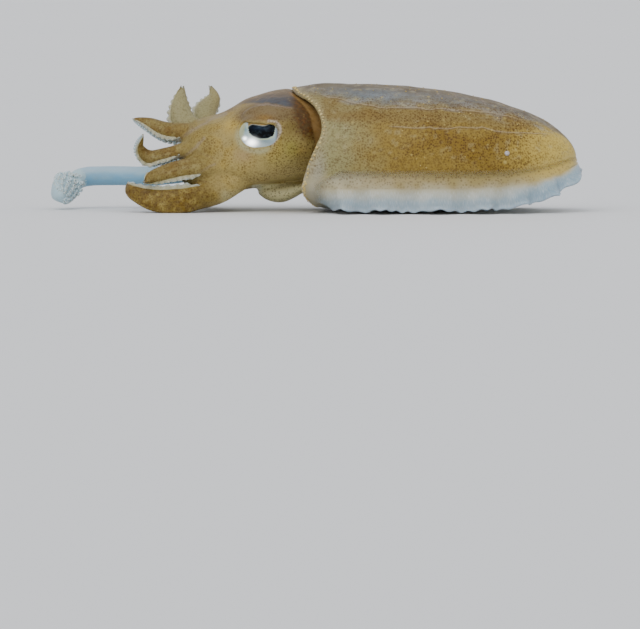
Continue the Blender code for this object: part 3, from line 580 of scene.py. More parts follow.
def make_mantle_skin():
    """One closed skin: from the pocket's floor forward, round the margin's lip, and back to the tail."""
    angles = [2 * math.pi * k / MANTLE_AROUND for k in range(MANTLE_AROUND)]
    in_pocket, in_lip, on_collar, on_body = MANTLE_RINGS
    rings = []
    for depth in np.linspace(1.0, 0.06, in_pocket):
        wall = COLLAR_WALL + (POCKET_WALL - COLLAR_WALL) * depth
        rings.append([
            inside_mantle(margin_x(a) * (1 - depth) + POCKET_FLOOR_X * depth, a, wall) for a in angles])
    for turn in np.linspace(0.15, 0.85, in_lip):
        lip = COLLAR_WALL / 2 * (1 + math.cos(math.pi * turn))
        ahead = 0.45 * math.sin(math.pi * turn)
        rings.append([inside_mantle(margin_x(a) + 0.3 - ahead, a, lip) for a in angles])
    starts = [margin_x(a) + 0.35 for a in angles]
    for share in np.linspace(0, 1, on_collar) ** 1.15:
        rings.append([mantle_point(x + (COLLAR_END_X - x) * share, a) for x, a in zip(starts, angles)])
    for step in range(1, on_body):
        turn = math.pi / 2 * step / (on_body - 0.4)
        x = COLLAR_END_X + (MANTLE_TAIL_X - COLLAR_END_X) * math.sin(turn)
        rings.append([mantle_point(x, a) for a in angles])
    mantle = moulded("mantle_skin", rings, end=(MANTLE_TAIL_X - 0.05, 0, TAIL_TIP_Z))
    relief(mantle, *MANTLE_RELIEF)
    return mantle


def relief(piece, broad, fine, creased):
    """Low folds and wrinkles moved into the mesh, none below the floor."""
    points, normals = animal_points(piece), vectors_of(piece.data.vertex_normals, "vector")
    shift = broad * flesh_noise(points, 5.0, seed=3.1) - broad * 0.5
    if creased:
        shift -= creased * crease_lines(points, flesh_noise(points, 1.1, seed=4.0))
    shift += fine * flesh_noise(points, 0.9, (0.45, 1.0, 1.0), 7.7)
    set_points(piece, above_floor(points + normals * shift[:, None]))


# The head, the arms, the funnel and the tentacle, in one skin

def collar_room(x):
    """Bearings round the neck's middle, the mantle's distance and margin at each, and that middle."""
    centre = np.array([0.0, NECK_CORE_Z])
    turns = np.radians(np.arange(0, 360, 3))
    outer = np.array([mantle_point(max(x, COLLAR_REACH_X), turn)[1:] for turn in turns]) - centre
    bearings = np.arctan2(outer[:, 0], outer[:, 1])
    order = np.argsort(bearings)
    margins = np.array([margin_x(turn) for turn in turns])
    return bearings[order], np.linalg.norm(outer, axis=1)[order], margins[order], centre


def head_ring(x, around):
    table = np.array(HEAD_STATIONS)
    middle, half, low, high = (smooth_value(table[:, 0], table[:, k], x) for k in range(1, 5))
    level = (low + high) / 2
    upward, sideways = round_turns(around)
    y = middle + half * np.sign(sideways) * np.abs(sideways) ** 0.9
    z = level + (high - level) * np.sign(upward) * np.abs(upward) ** 0.9
    ring = np.stack([np.full(around, x), y, z], axis=1)
    bearings, limits, margins, centre = collar_room(x)
    away = ring[:, 1:] - centre
    bearing = np.arctan2(away[:, 0], away[:, 1])
    limit = np.interp(bearing, bearings, limits, period=2 * math.pi)
    margin = np.interp(bearing, bearings, margins, period=2 * math.pi)
    room = limit - NECK_WALL + NECK_SLOPE * np.maximum(0.0, margin - x)
    far = np.linalg.norm(away, axis=1)
    away *= np.minimum(1.0, room / far)[:, None]
    ring[:, 1:] = centre + away
    return ring


def make_head_pieces():
    stations = np.array(HEAD_STATIONS)[:, 0]
    xs = np.interp(np.linspace(0, 1, HEAD_RINGS[0]), np.linspace(0, 1, len(stations)), stations)
    pieces = [moulded("head", [head_ring(x, HEAD_RINGS[1]) for x in xs], end=HEAD_FRONT_TIP)]
    for side in (-1, 1):
        place, axes = eye_frame(side)
        pieces.append(oval("brow", place + np.array(BROW[0]) @ axes, BROW[1], axes))
        pieces.append(upper_lid(place, axes))
        ring_place = place + np.array(LID_RING_PLACE) @ axes
        pieces.append(ring_tube("lid", ring_place, *LID_RING, LID_RING_STOCK, axes[0]))
    for place, half_sizes in ARM_WEBS:
        pieces.append(oval("arm_web", np.array(place), half_sizes, np.eye(3)))
    return pieces


def upper_lid(place, axes):
    """The fold of skin over the eyeball, cut along the lid's edge."""
    lid = oval("upper_lid", place, np.array(EYE_HALF_SIZES) + UPPER_LID_COVER, axes, 64, 40)
    activate(lid)
    bpy.ops.object.mode_set(mode="EDIT")
    bpy.ops.mesh.select_all(action="SELECT")
    edge = to_frame(place + np.array([0.0, 0.0, LID_LINE]))
    bpy.ops.mesh.bisect(plane_co=edge, plane_no=(0.08, 0, 1), use_fill=True, clear_inner=True)
    bpy.ops.object.mode_set(mode="OBJECT")
    return face_outward(lid)


def arm_forms():
    """For each arm: its path, its sucker face's way, its side, half width, depth, keel and end."""
    forms = {}
    for name, (line, face_root, face_tip, half_width, depth, keel) in ARMS.items():
        path = even_path(line, ARM_STEPS)
        face, side = frames_along(path, face_root, face_tip)
        forms[name] = (path, face, side, half_width, depth, keel, FULL_ENDS.get(name, ARM_END))
    return forms


def make_arm(name, form):
    path, face, side, _, depth, keel, _ = form
    u, v = round_turns(ARM_AROUND)
    back = np.abs(np.minimum(v, 0))
    cupped = FACE_HEIGHT * np.maximum(v, 0) ** FACE_POWER
    rings = []
    for i, centre in enumerate(path):
        share = i / (len(path) - 1)
        half = arm_half(form, share)
        keeled = back + keel * back ** 5 * taper(share) * float(ease((share - KEEL_START) / KEEL_GROWTH))
        height = np.where(v > 0, cupped, -keeled)
        rings.append(above_floor(
            centre + side[i] * (u * half)[:, None] + face[i] * (height * half * depth)[:, None]))
    tip = path[-1] + unit(path[-1] - path[-2]) * ARM_TIP_RADIUS
    return moulded(name, rings, end=tip)


def tentacle_path():
    """The tentacle's path, and the step where its club begins."""
    return even_path(TENTACLE_LINE, TENTACLE_STEPS), int(CLUB_SHARE * (TENTACLE_STEPS - 1))


def make_stalk():
    path, club = tentacle_path()
    steps = club + STALK_OVERLAP
    direction = unit(np.gradient(path, axis=0))
    first = unit(np.cross(direction, (0, 0, 1)))
    second = np.cross(direction, first)
    radii = np.interp(np.arange(steps), (0, club / 2, steps), (*STALK_RADIUS, STALK_RADIUS[1]))
    u, v = (turns[:, None] for turns in round_turns(ARM_AROUND))
    return moulded("stalk", [path[i] + radii[i] * (u * first[i] + v * second[i]) for i in range(steps)])


def club_form():
    path, club = tentacle_path()
    line = even_path(path[club:], CLUB_RINGS[0])
    face, side = frames_along(line, *CLUB_FACE)
    return line, face, side


def make_club():
    path, face, side = club_form()
    u, v = round_turns(CLUB_RINGS[1])
    rings = []
    for i, centre in enumerate(path):
        half, thick, keel = club_size(i / (len(path) - 1))
        lobes = CLUB_LOBES * math.pi * i / (len(path) - 1)
        lobe = 0.7 + 0.4 * abs(math.sin(lobes))
        height = np.where(v > 0, thick * v, thick * v - lobe * keel * np.abs(v) ** 4)
        wide = u * (0.94 + 0.12 * abs(math.sin(lobes + 0.8)))
        rings.append(above_floor(centre + side[i] * (wide * half)[:, None] + face[i] * height[:, None]))
    return moulded("club", rings)


def make_funnel():
    """A spout that narrows to its mouth, which is sunk in."""
    rear, front = np.array(FUNNEL_LINE[0]), np.array(FUNNEL_LINE[1])
    inward = unit(rear - front)
    table = np.array(FUNNEL_SECTIONS)
    rings = []
    for share in 1 - np.linspace(1, 0, FUNNEL_RINGS[0]) ** 1.5:
        width, height, hang = (smooth_value(table[:, 0], table[:, k], share) for k in (1, 2, 3))
        middle = rear + (front - rear) * share - np.array([0.0, 0.0, hang])
        rings.append(funnel_ring(middle, width, height))
    rings.append(funnel_ring(front + inward * 0.25, 0.24, 0.14))
    rings.append(funnel_ring(front + inward * FUNNEL_MOUTH_DEPTH, 0.2, 0.16))
    return moulded("funnel_form", rings)


def funnel_ring(middle, width, height):
    up, out = round_turns(FUNNEL_RINGS[1])
    y, z = FUNNEL_HALF_WIDTH * width * out, FUNNEL_HALF_HEIGHT * height * up
    return middle + np.stack([np.zeros(len(y)), y, z], axis=1)


def make_head_skin(forms):
    """Head, arms, funnel and tentacle grown together, with the joins softened."""
    pieces = make_head_pieces()
    pieces += [make_arm(name, form) for name, form in forms.items()]
    pieces += [make_stalk(), make_club(), make_funnel()]
    skin = joined("head_skin", pieces)
    finished(skin, "REMESH", mode="VOXEL", voxel_size=SKIN_VOXEL * MM, adaptivity=0.0)
    finished(skin, "SMOOTH", factor=0.5, iterations=SKIN_SMOOTHING)
    face_outward(skin)
    relief(skin, *HEAD_RELIEF)
    return skin


# Fins

def fin_outline(count):
    """Evenly spaced places on the fin's root line, with the outward direction in plan."""
    xs = FIN_START_X + (MANTLE_TAIL_X - 0.02 - FIN_START_X) * np.sin(np.linspace(0, math.pi / 2, 1600))
    line = np.array([(x, mantle_half_width(x)) for x in xs])
    line = line[line[:, 1] > 0.4]
    along = np.concatenate([[0], np.cumsum(np.linalg.norm(np.diff(line, axis=0), axis=1))])
    wanted = np.linspace(0, along[-1], count)
    even = np.stack([np.interp(wanted, along, line[:, k]) for k in range(2)], axis=1)
    direction = unit(np.gradient(even, axis=0))
    return even, np.stack([-direction[:, 1], direction[:, 0]], axis=1)


def flank_inset(x, z):
    """How far the mantle's side at that height lies inside its widest line."""
    half, level = mantle_half_width(x), widest_level(x)
    if z < level:
        upward = ((level - z) / (level - mantle_underside(x))) ** (1 / BELLY_POWER)
    else:
        upward = ((z - level) / (mantle_top(x) - level)) ** (1 / UPPER_POWER)
    return half * (1 - (1 - min(upward, 0.98) ** 2) ** (UPPER_POWER / 2))


def fin_middle(place, outward, share, across, crests):
    """A point of the fin's middle surface: its root climbs the mantle's side, its edge is across 1."""
    phase = np.interp(share, crests, range(len(crests)))
    crest = (0.5 + 0.5 * math.cos(2 * math.pi * phase)) ** 1.35
    start, end = float(ease((share - 0.005) / FIN_GROWTH)), float(ease((1 - share) / 0.18))
    x, y = place
    low, high = FIN_ROOT_DROP
    root = widest_level(x) - low - (high - low) * tail_share(x) ** 3
    rise = FIN_APRON_RISE * (0.4 + 0.6 * start) * (1 - 0.5 * tail_share(x) ** 2)
    root_out = FIN_ROOT_OUT * start * end
    if across < FIN_APRON:
        up = 1 - across / FIN_APRON
        z = root + rise * up
        out = root_out * (1 - up) - flank_inset(x, z) - 0.12 * up
        return x + outward[0] * out, y + outward[1] * out, z
    across = (across - FIN_APRON) / (1 - FIN_APRON)
    reach_low, reach_high = FIN_REACH
    reach = (reach_low + (reach_high - reach_low) * crest) * start * (0.35 + 0.65 * end)
    drop = FIN_DROP[0] + (FIN_DROP[1] - FIN_DROP[0]) * tail_share(x) ** 6
    drop = (drop + (0.35 - 0.7 * crest) * across * (0.5 + 0.5 * end)) * (0.75 + 0.25 * start)
    mean = reach_low + 0.4 * (reach_high - reach_low)
    out = root_out * (1 - across) + min(reach, mean) * across ** 1.25 + max(0.0, reach - mean) * across ** 2.6
    frill = across ** 3 * end * start
    sideways, lift = (
        size * frill * math.sin(waves * share + wander * math.sin(slow * share))
        for size, waves, wander, slow in FIN_FRILLS)
    out += sideways
    level = root - drop * across ** 1.2
    out -= flank_inset(x, root) * (1 - start) + (1 - start) * flank_inset(x, max(level, 0.6)) * across
    return x + outward[0] * out, y + outward[1] * out, level + lift


def corner_points(mesh):
    """The vertex that each corner of a mesh's faces stands on."""
    vertex = np.empty(len(mesh.loops), int)
    mesh.loops.foreach_get("vertex_index", vertex)
    return vertex


def drawn_grid(name, stations, columns, place, thickness, full):
    """A flat grid drawn out to a curved sheet, as thick as `full` says at each place."""
    sheet, co = primitive(name, bpy.ops.mesh.primitive_grid_add,
                          x_subdivisions=stations, y_subdivisions=columns, size=2.0)
    along, across = (co[:, 0] + 1) / 2, (co[:, 1] + 1) / 2
    set_points(sheet, [place(a, b) for a, b in zip(along, across)])
    group = sheet.vertex_groups.new(name="thick")
    for index, (a, b) in enumerate(zip(along, across)):
        group.add([index], full(a, b), "REPLACE")
    layer = sheet.data.uv_layers.new(name="along_across")
    layer.data.foreach_set("uv", np.stack([along, across], axis=1)[corner_points(sheet.data)].ravel())
    finished(sheet, "SOLIDIFY", thickness=thickness[0] * MM, offset=0.0, vertex_group="thick",
             thickness_vertex_group=thickness[1] / thickness[0], use_even_offset=False)
    face_outward(sheet)
    set_points(sheet, above_floor(animal_points(sheet)))
    return sheet


def make_fin(name, side):
    """A fin's sheet, thickest where it leaves the mantle's side."""
    stations = FIN_GRID[0]
    places, outwards = fin_outline(stations + 1)

    def place(along, across):
        i = int(round(along * stations))
        x, y, z = fin_middle(places[i], outwards[i], along, across, FIN_CRESTS[name])
        return x, y * side, max(z, 0.3)

    def full(along, across):
        grown = float(ease(along / FIN_GROWTH)) * float(ease(across / FIN_APRON))
        return grown * (1 - 0.62 * max(0.0, across - FIN_APRON) ** 0.7)

    return drawn_grid(name + "_skin", *FIN_GRID, place, FIN_THICKNESS, full)


def make_membranes(forms):
    """The scalloped webs along both edges of every arm's sucker face."""
    webs = []
    for form in forms.values():
        for edge in (-1, 1):
            webs.append(make_membrane(form, edge, len(webs)))
    return joined("arm_membranes", webs)


def make_membrane(form, edge, number):
    depth = form[4]

    def place(along, across):
        share = MEMBRANE_SPAN[0] + (MEMBRANE_SPAN[1] - MEMBRANE_SPAN[0]) * along
        centre, look, wide = on_arm(form, share)
        half = arm_half(form, min(share, 0.999))
        scallop = 0.86 + 0.14 * abs(math.sin(SCALLOPS * math.pi * along + number))
        reach = MEMBRANE_REACH * (half + 0.5) * scallop * float(ease(along / 0.25)) * (1 - along ** 5)
        wave = 0.1 * half * across ** 2 * math.sin(2 * SCALLOPS * math.pi * along + number)
        root = centre + wide * edge * half * 0.9 + look * 0.1 * half * depth
        point = root + (wide * edge * 0.66 + look * 0.75) * (reach * across - 0.1 * half) + wide * edge * wave
        return point[0], point[1], max(point[2], 0.12)

    def full(along, across):
        return 1 - 0.6 * across ** 0.7

    return drawn_grid(f"web_{number}", *MEMBRANE_GRID, place, MEMBRANE_THICKNESS, full)


# Suckers, beads and eyes

def modelled_cup():
    """One sucker, its mouth towards +Z: a drum whose top is inset, sunk and rounded."""
    cup, _ = primitive("cup", bpy.ops.mesh.primitive_cylinder_add, vertices=10, radius=0.92, depth=1.5)
    bpy.ops.object.mode_set(mode="EDIT")
    bpy.ops.mesh.select_mode(type="FACE")
    work = bmesh.from_edit_mesh(cup.data)
    for face in work.faces:
        face.select = face.normal.z > 0.9
    bmesh.update_edit_mesh(cup.data)
    bpy.ops.mesh.extrude_region_move(TRANSFORM_OT_translate={"value": (0, 0, 0.2)})
    bpy.ops.transform.resize(value=(0.86, 0.86, 1.0))
    bpy.ops.mesh.inset(thickness=0.24)
    bpy.ops.transform.translate(value=(0, 0, -0.08))
    bpy.ops.mesh.inset(thickness=0.16)
    bpy.ops.transform.translate(value=(0, 0, -0.5))
    bpy.ops.object.mode_set(mode="OBJECT")
    return cup


def modelled_bead():
    """One small round bump of skin."""
    return primitive("bead", bpy.ops.mesh.primitive_ico_sphere_add, subdivisions=2, radius=1.0)[0]


def copied(name, model, places, outwards, radii, lengths=None):
    """One piece with a copy of the model at every place, its +Z turned outward."""
    co = vectors_of(model.data.vertices, "co")
    faces = [tuple(f.vertices) for f in model.data.polygons]
    bpy.data.objects.remove(model)
    points, all_faces = [], []
    lengths = radii if lengths is None else lengths
    for place, outward, radius, length in zip(places, outwards, radii, lengths):
        outward = unit(outward)
        first = unit(np.cross(outward, (0.31, 0.52, 0.79)))
        axes = np.array([first, np.cross(outward, first), outward])
        base = len(points) * len(co)
        points.append(place + (co * (radius, radius, length)) @ axes)
        all_faces += [tuple(base + k for k in face) for face in faces]
    mesh = bpy.data.meshes.new(name)
    mesh.from_pydata(to_frame(np.concatenate(points)).tolist(), [], all_faces)
    made = bpy.data.objects.new(name, mesh)
    bpy.context.scene.collection.objects.link(made)
    return face_outward(made)


def make_arm_suckers(forms):
    """Small cups in staggered rows over every arm's inside."""
    rng = np.random.default_rng(12)
    places, outwards, radii = [], [], []
    for form in forms.values():
        length = np.linalg.norm(np.diff(form[0], axis=0), axis=1).sum()
        share, step = CUP_SHARES[0], 0
        while share < CUP_SHARES[1]:
            centre, look, across = on_arm(form, share)
            half = arm_half(form, share)
            radius = max(CUP_RADIUS[1], CUP_RADIUS[0] * half)
            for row in CUP_ROWS[step % 2::2]:
                lift = FACE_HEIGHT * (1 - row ** 2) ** (FACE_POWER / 2) * half * form[4] - 0.1 * radius
                places.append(centre + across * row * half + look * lift)
                outwards.append(look + across * row * 0.15 + rng.normal(0, 0.05, 3))
                radii.append(radius * rng.uniform(0.9, 1.1))
            share += CUP_SPACING[0] * radius / length
            step += 1
    return copied("arm_suckers", modelled_cup(), places, outwards, radii)


def make_club_suckers():
    """Cups in rows over the club's inside, smaller ones towards its margins and its end."""
    rng = np.random.default_rng(5)
    path, face, side = club_form()
    places, outwards, radii = [], [], []
    length = np.linalg.norm(np.diff(path, axis=0), axis=1).sum()
    for degrees, radius, share in CLUB_ROWS:
        across, up = math.cos(math.radians(degrees)), math.sin(math.radians(degrees))
        while share < 0.97:
            size = radius * (1 - 0.5 * share ** 2)
            i = min(int(share * (len(path) - 1)), len(path) - 1)
            half, thick, _ = club_size(share)
            place = path[i] + side[i] * across * (half - 0.15) + face[i] * up * (thick - 0.1)
            places.append(place + rng.normal(0, 0.06, 3))
            outwards.append(face[i] * up + side[i] * across * 0.8 + rng.normal(0, 0.08, 3))
            radii.append(size * rng.uniform(0.88, 1.12))
            share += CUP_SPACING[1] * size / length
    return copied("club_suckers", modelled_cup(), places, outwards, radii)


def make_beads():
    """The row of pale beads along the mantle's margin, and pale bumps over the back and the sides."""
    rng = np.random.default_rng(8)
    places, outwards, radii = [], [], []
    angle = 0.0
    while angle < 2 * math.pi:
        x = margin_x(angle) + 0.3 + rng.uniform(-0.2, 0.3)
        here = mantle_point(x, angle)
        over_back = min(angle, 2 * math.pi - angle) < BEAD_CHANGE
        radii.append(BEAD_RADIUS[0 if over_back else 1] * rng.uniform(0.6, 1.25))
        places.append(here)
        outwards.append(here - inside_mantle(x, angle, 1.0) + np.array([-0.4, 0, 0]))
        angle += rng.uniform(*BEAD_GAPS) / max(8.0, np.linalg.norm(here[1:] - (0.0, CORE_Z)))
    places.append(mantle_point(*NODULE) - np.array([0, -0.1, 0]))
    outwards.append(np.array([0, -1.0, 0.2]))
    radii.append(NODULE_RADIUS)
    for _ in range(BACK_BUMPS):
        angle = rng.normal(0, 0.75)
        x = rng.uniform(-28.5, 24)
        if x < margin_x(angle) + 0.8:
            continue
        here = mantle_point(x, angle)
        places.append(here - 0.05 * unit(here - (x, 0, CORE_Z)))
        outwards.append(here - inside_mantle(x, angle, 1.0))
        radii.append(rng.uniform(0.08, 0.2))
    radii = np.array(radii)
    beads = copied("pale_beads", modelled_bead(), places, outwards, radii, radii * 0.7)
    p = animal_points(beads)
    write_colours(beads, "tone", layered(
        plain(p, (224, 208, 166)),
        ((200, 182, 134), p[:, 0] - margin_line(p) > 1.2),
        ((206, 208, 222), np.linalg.norm(p - mantle_point(*NODULE), axis=1) < 1.0)))
    return beads


def make_eye(name, side):
    place, axes = eye_frame(side)
    eye = oval(name + "_ball", place, EYE_HALF_SIZES, axes, *EYEBALL_RINGS)
    points = animal_points(eye)
    tone, glint = eye_tone(points[:, 0] - EYE_X, points[:, 2] - EYE_Z)
    write_colours(eye, "tone", tone)
    write_colours(eye, "glint", np.tile(glint[:, None], (1, 3)))
    return eye


def curve_at(line, places):
    """A smooth curve through the line's points, read at many places."""
    line = np.array(line, float)
    fine = np.linspace(line[0, 0], line[-1, 0], 160)
    return np.interp(places, fine, [smooth_value(line[:, 0], line[:, 1], place) for place in fine])


def spot(u, v, place, half_sizes):
    """A soft oval spot, from 0 to 1."""
    return np.exp(-((u - place[0]) / half_sizes[0]) ** 2 - ((v - place[1]) / half_sizes[1]) ** 2)


def eye_tone(u, v):
    """Silver with a bright glint, and the dark kidney of the pupil hanging under the lid."""
    top, bottom = curve_at(PUPIL_TOP, u), curve_at(PUPIL_BOTTOM, u)
    inside = np.minimum(top - v, v - bottom)
    beyond = np.maximum(PUPIL_TOP[0][0] - u, u - PUPIL_TOP[-1][0])
    inside = np.where(beyond > 0, np.minimum(inside, -beyond), inside)
    lid = ease((v - top + 0.02) / 0.12) * (beyond < 0)
    tone = layered(
        plain(u, (206, 220, 222)),
        ((120, 138, 146), spot(u, v, (0.4, -1.5), (2.0, 0.7)) * 0.75),
        ((232, 242, 240), spot(u, v, (-0.9, -2.4), (2.0, 0.9)) * 0.9),
        ((118, 120, 134), ease((u - 2.6) / 0.7) * 0.85),
        ((196, 178, 170), bump(u + 0.35 * v, 3.95, 0.22) * 0.9),
        # painted shade, bluish grey, in the eye's upper front corner under the lid
        ((120, 150, 160), spot(u, v, (-3.5, 1.0), (0.6, 0.8)) * 0.8),
        ((200, 196, 140), ease((-3.4 - u + 0.2 * v) / 0.7) * 0.6),
        ((186, 170, 110), ease((-2.75 - v) / 0.6) * 0.8),
        ((150, 138, 70), ease((u - 4.1 + 0.35 * v) / 0.5) * 0.9),
        ((222, 228, 190), bump(inside, -0.17, 0.11) * (v < 1.6) * 0.9),
        ((160, 140, 104), np.maximum(lid, ease((v - 2.35) / 0.2))))
    navy = layered(plain(u, (0, 3, 9)), ((34, 50, 70), spot(u, v, (-0.2, 1.3), (1.9, 0.5)) * 0.5))
    tone = mixed(tone, navy, ease((inside + 0.05) / 0.12))
    glint = np.maximum(spot(u, v, (-2.1, -1.8), (1.0, 0.75)), 0.8 * spot(u, v, (-3.5, -1.0), (0.45, 0.38)))
    return mixed(tone, np.array([0.95, 0.97, 0.97]), glint), glint


# Colour

def linear(red, green, blue):
    """A colour as seen, 0 to 255, turned to the shader values that look so under the studio light."""
    value = np.array([red, green, blue]) / 255
    value = np.where(value <= 0.04045, value / 12.92, ((value + 0.055) / 1.055) ** 2.4)
    grey = value @ (0.3, 0.59, 0.11)
    return np.clip(TONE_STRENGTH * (grey + (value - grey) * TONE_PURITY), 0.002, 0.95)


def mixed(tone, colour, weight):
    weight = np.clip(np.asarray(weight, float), 0, 1)[:, None]
    return tone * (1 - weight) + np.asarray(colour) * weight


def plain(points, colour):
    """One colour at every point."""
    return np.tile(linear(*colour), (len(points), 1))


def layered(tone, *layers):
    """Lays colours over a tone in turn, each given with its weight."""
    for colour, weight in layers:
        tone = mixed(tone, linear(*colour), weight)
    return tone


def write_colours(piece, name, colours):
    if colours.shape[1] == 3:
        colours = np.concatenate([colours, np.ones((len(colours), 1))], axis=1)
    layer = piece.data.color_attributes.new(name=name, type="FLOAT_COLOR", domain="POINT")
    layer.data.foreach_set("color", colours.astype(np.float32).ravel())


def bump(value, middle, width):
    return np.exp(-(((value - middle) / width) ** 2))


def side_crease(x, line):
    """The height of a long crease on the flank, read from its own points."""
    line = np.array(line)
    return np.interp(x, line[:, 0], line[:, 1])


def crease_lines(p, wander):
    """How near each point is to the two long creases of the flanks, from 0 to 1."""
    x, z = p[:, 0], p[:, 2]
    return np.maximum(*(
        bump(z + 0.5 * wander, side_crease(x, line), width)
        * ease((x - start) / rise) * ease((end - x) / fall)
        for line, width, start, rise, end, fall in CREASES))


def paint_mantle(mantle):
    """Zones of colour, and how strong dots, fine speckle, creases and pale spots are in each."""
    p, n = animal_points(mantle), vectors_of(mantle.data.vertex_normals, "vector")
    x, y, z = p.T
    ragged = flesh_noise(p, 3.5, seed=1.0)
    small = flesh_noise(p, 1.1, seed=4.0)
    long = flesh_noise(p, 1.3, (0.22, 1.0, 1.0), 6.5)
    clouds = flesh_noise(p, 5.0, (0.6, 1.0, 1.0), 8.5)
    above_upper = z - side_crease(x, UPPER_CREASE) + 0.8 * ragged
    above_lower = z - side_crease(x, LOWER_CREASE) + 0.9 * ragged + 0.4 * small
    above_fin = z - np.interp(x, *FIN_SHADE) + 0.9 * ragged + 0.5 * small
    along_back = mantle_back(p)
    back = ease((along_back - 0.84) / 0.12)
    inner = ease((inside_share(p, n) - 0.2) / 0.3)
    tone = layered(
        plain(p, (146, 126, 82)),
        # the flank: brown clouds, a golden tail, and grey green towards the margin
        ((124, 100, 56), ease(clouds / 0.35 + 0.35) * bump(x, 3, 14) * 0.7),
        ((214, 192, 132), ease((x - 12 + 2.5 * ragged) / 12) * 0.85),
        ((222, 202, 142), ease((x - 22 + 2 * ragged) / 7) * 0.5),
        ((156, 152, 120), ease((-7 - x + 4 * ragged) / 17) * 0.95),
        # duller above the lower crease, and blue grey with streaks above the upper one
        ((138, 124, 94), ease(above_lower / 1.6) * 0.6 * ease((27 - x) / 4)),
        ((120, 94, 52), ease((clouds - 0.05) / 0.3) * ease(above_lower / 1.0) * 0.4),
        ((126, 128, 126), ease((above_upper + 0.6) / 3.2) * 0.85),
        ((112, 128, 142), ease((above_upper + 0.6) / 3.2) * ease((-4 - x) / 10) * 0.6),
        ((160, 165, 170), ease((long - 0.12) / 0.2) * ease((above_upper + 1.5) / 1.5) * 0.35),
        ((84, 86, 92), ease((-long - 0.18) / 0.2) * ease(above_upper / 1.5) * 0.4),
        # the back: grey, brown in the middle, mottled
        ((116, 114, 108), back * 0.7),
        ((118, 102, 72), ease((along_back - 0.92) / 0.07) * 0.6),
        ((84, 74, 62), back * ease(ragged / 0.35) * 0.45),
        ((142, 140, 142), back * ease(small / 0.4) * 0.35),
        # cream to white down to the fin, and pale at the front's foot
        ((202, 186, 142), ease((3.4 - above_fin) / 3.0) * 0.75),
        ((206, 200, 180), ease((1.3 - above_fin) / 2.2)),
        ((190, 196, 194), ease((-3.0 - above_fin) / 2.0)),
        ((178, 174, 160), ease((-22.0 - x) / 3) * ease((16 - z) / 7) * 0.75),
        ((190, 182, 150), ease((small - 0.3) / 0.2) * ease((z - 9) / 4) * 0.3),
        # the creases, the collar's inside and the margin
        ((160, 150, 128), crease_lines(p, small) * 0.3),
        ((128, 108, 82), inner * ease((z - 12) / 4)),
        ((180, 170, 140), bump(x - margin_line(p), 0.5, 0.9) * 0.6))
    speckled = ease((above_fin - 0.4) / 3.0)
    dots = 0.2 * speckled * (1 - ease(above_upper / 3.0))
    fine = speckled * (1 - 0.65 * ease(above_upper / 3.5)) * (0.55 + 0.45 * ease((x + 22) / 14))
    fine = np.clip(fine * (0.85 + 0.5 * clouds) * (1 - 0.45 * ease((x - 17) / 8)), 0, 1)
    marks = np.stack([dots, fine, 0.5 * back, speckled * ease((x + 24) / 6)], axis=1)
    write_colours(mantle, "tone", tone)
    write_colours(mantle, "marks", np.clip(marks, 0, 1))
    outer = (1 - inner) * (y < 0)
    heights = [z - side_crease(x, crease[0]) + 0.4 * ragged + 0.12 * small for crease in CREASES]
    shown = [
        ease((x - start) / rise) * ease((end - x) / fall) * outer
        for _, _, start, rise, end, fall in CREASES]
    write_colours(mantle, "folds", np.stack(heights + shown, axis=1))


def mantle_back(p):
    """0 at the mantle's flanks and 1 along the middle of its back."""
    half = np.array([mantle_half_width(min(v, MANTLE_TAIL_X - 0.3)) for v in p[:, 0]])
    across = np.clip(np.abs(p[:, 1]) / half, 0, 1)
    return np.where(p[:, 2] > WIDEST_Z + 3, np.sqrt(1 - across ** 2), 0.0)


def margin_line(p):
    """Where the mantle's front margin lies beside each point."""
    across = np.abs(p[:, 1]) / MANTLE_HALF_WIDTH
    rise = p[:, 2] - WIDEST_Z
    up = np.where(rise > 0, rise / (MANTLE_TOP_Z - WIDEST_Z), rise / WIDEST_Z)
    return np.interp(np.degrees(np.arctan2(across, up)), MARGIN_ANGLES, MARGIN_X)


def inside_share(points, normals):
    """1 where a face of the mantle looks inward, inside the collar."""
    inward = -(normals[:, 1] * points[:, 1] + normals[:, 2] * (points[:, 2] - CORE_Z))
    return np.where(points[:, 0] < COLLAR_END_X - 2, np.clip(inward / 10, 0, 1), 0)


def nearest_forms(points, paths):
    """For every point: the nearest path, the place on it, and how far away it is."""
    tree = kdtree.KDTree(sum(len(p) for p in paths))
    keys = []
    for which, path in enumerate(paths):
        for i, place in enumerate(path):
            tree.insert(Vector(place), len(keys))
            keys.append((which, i))
    tree.balance()
    found = [tree.find(Vector(p)) for p in points]
    index = np.array([keys[f[1]] for f in found])
    return index[:, 0], index[:, 1], np.array([f[2] for f in found])


def near_line(across, up, line, width):
    """1 on a line drawn over the flank, fading within its width."""
    away = np.full(len(across), 99.0)
    for (x0, z0), (x1, z1) in zip(line, line[1:]):
        run = np.array([x1 - x0, z1 - z0])
        share = np.clip(((across - x0) * run[0] + (up - z0) * run[1]) / (run @ run), 0, 1)
        away = np.minimum(away, np.hypot(across - x0 - share * run[0], up - z0 - share * run[1]))
    return np.exp(-((away / width) ** 2))


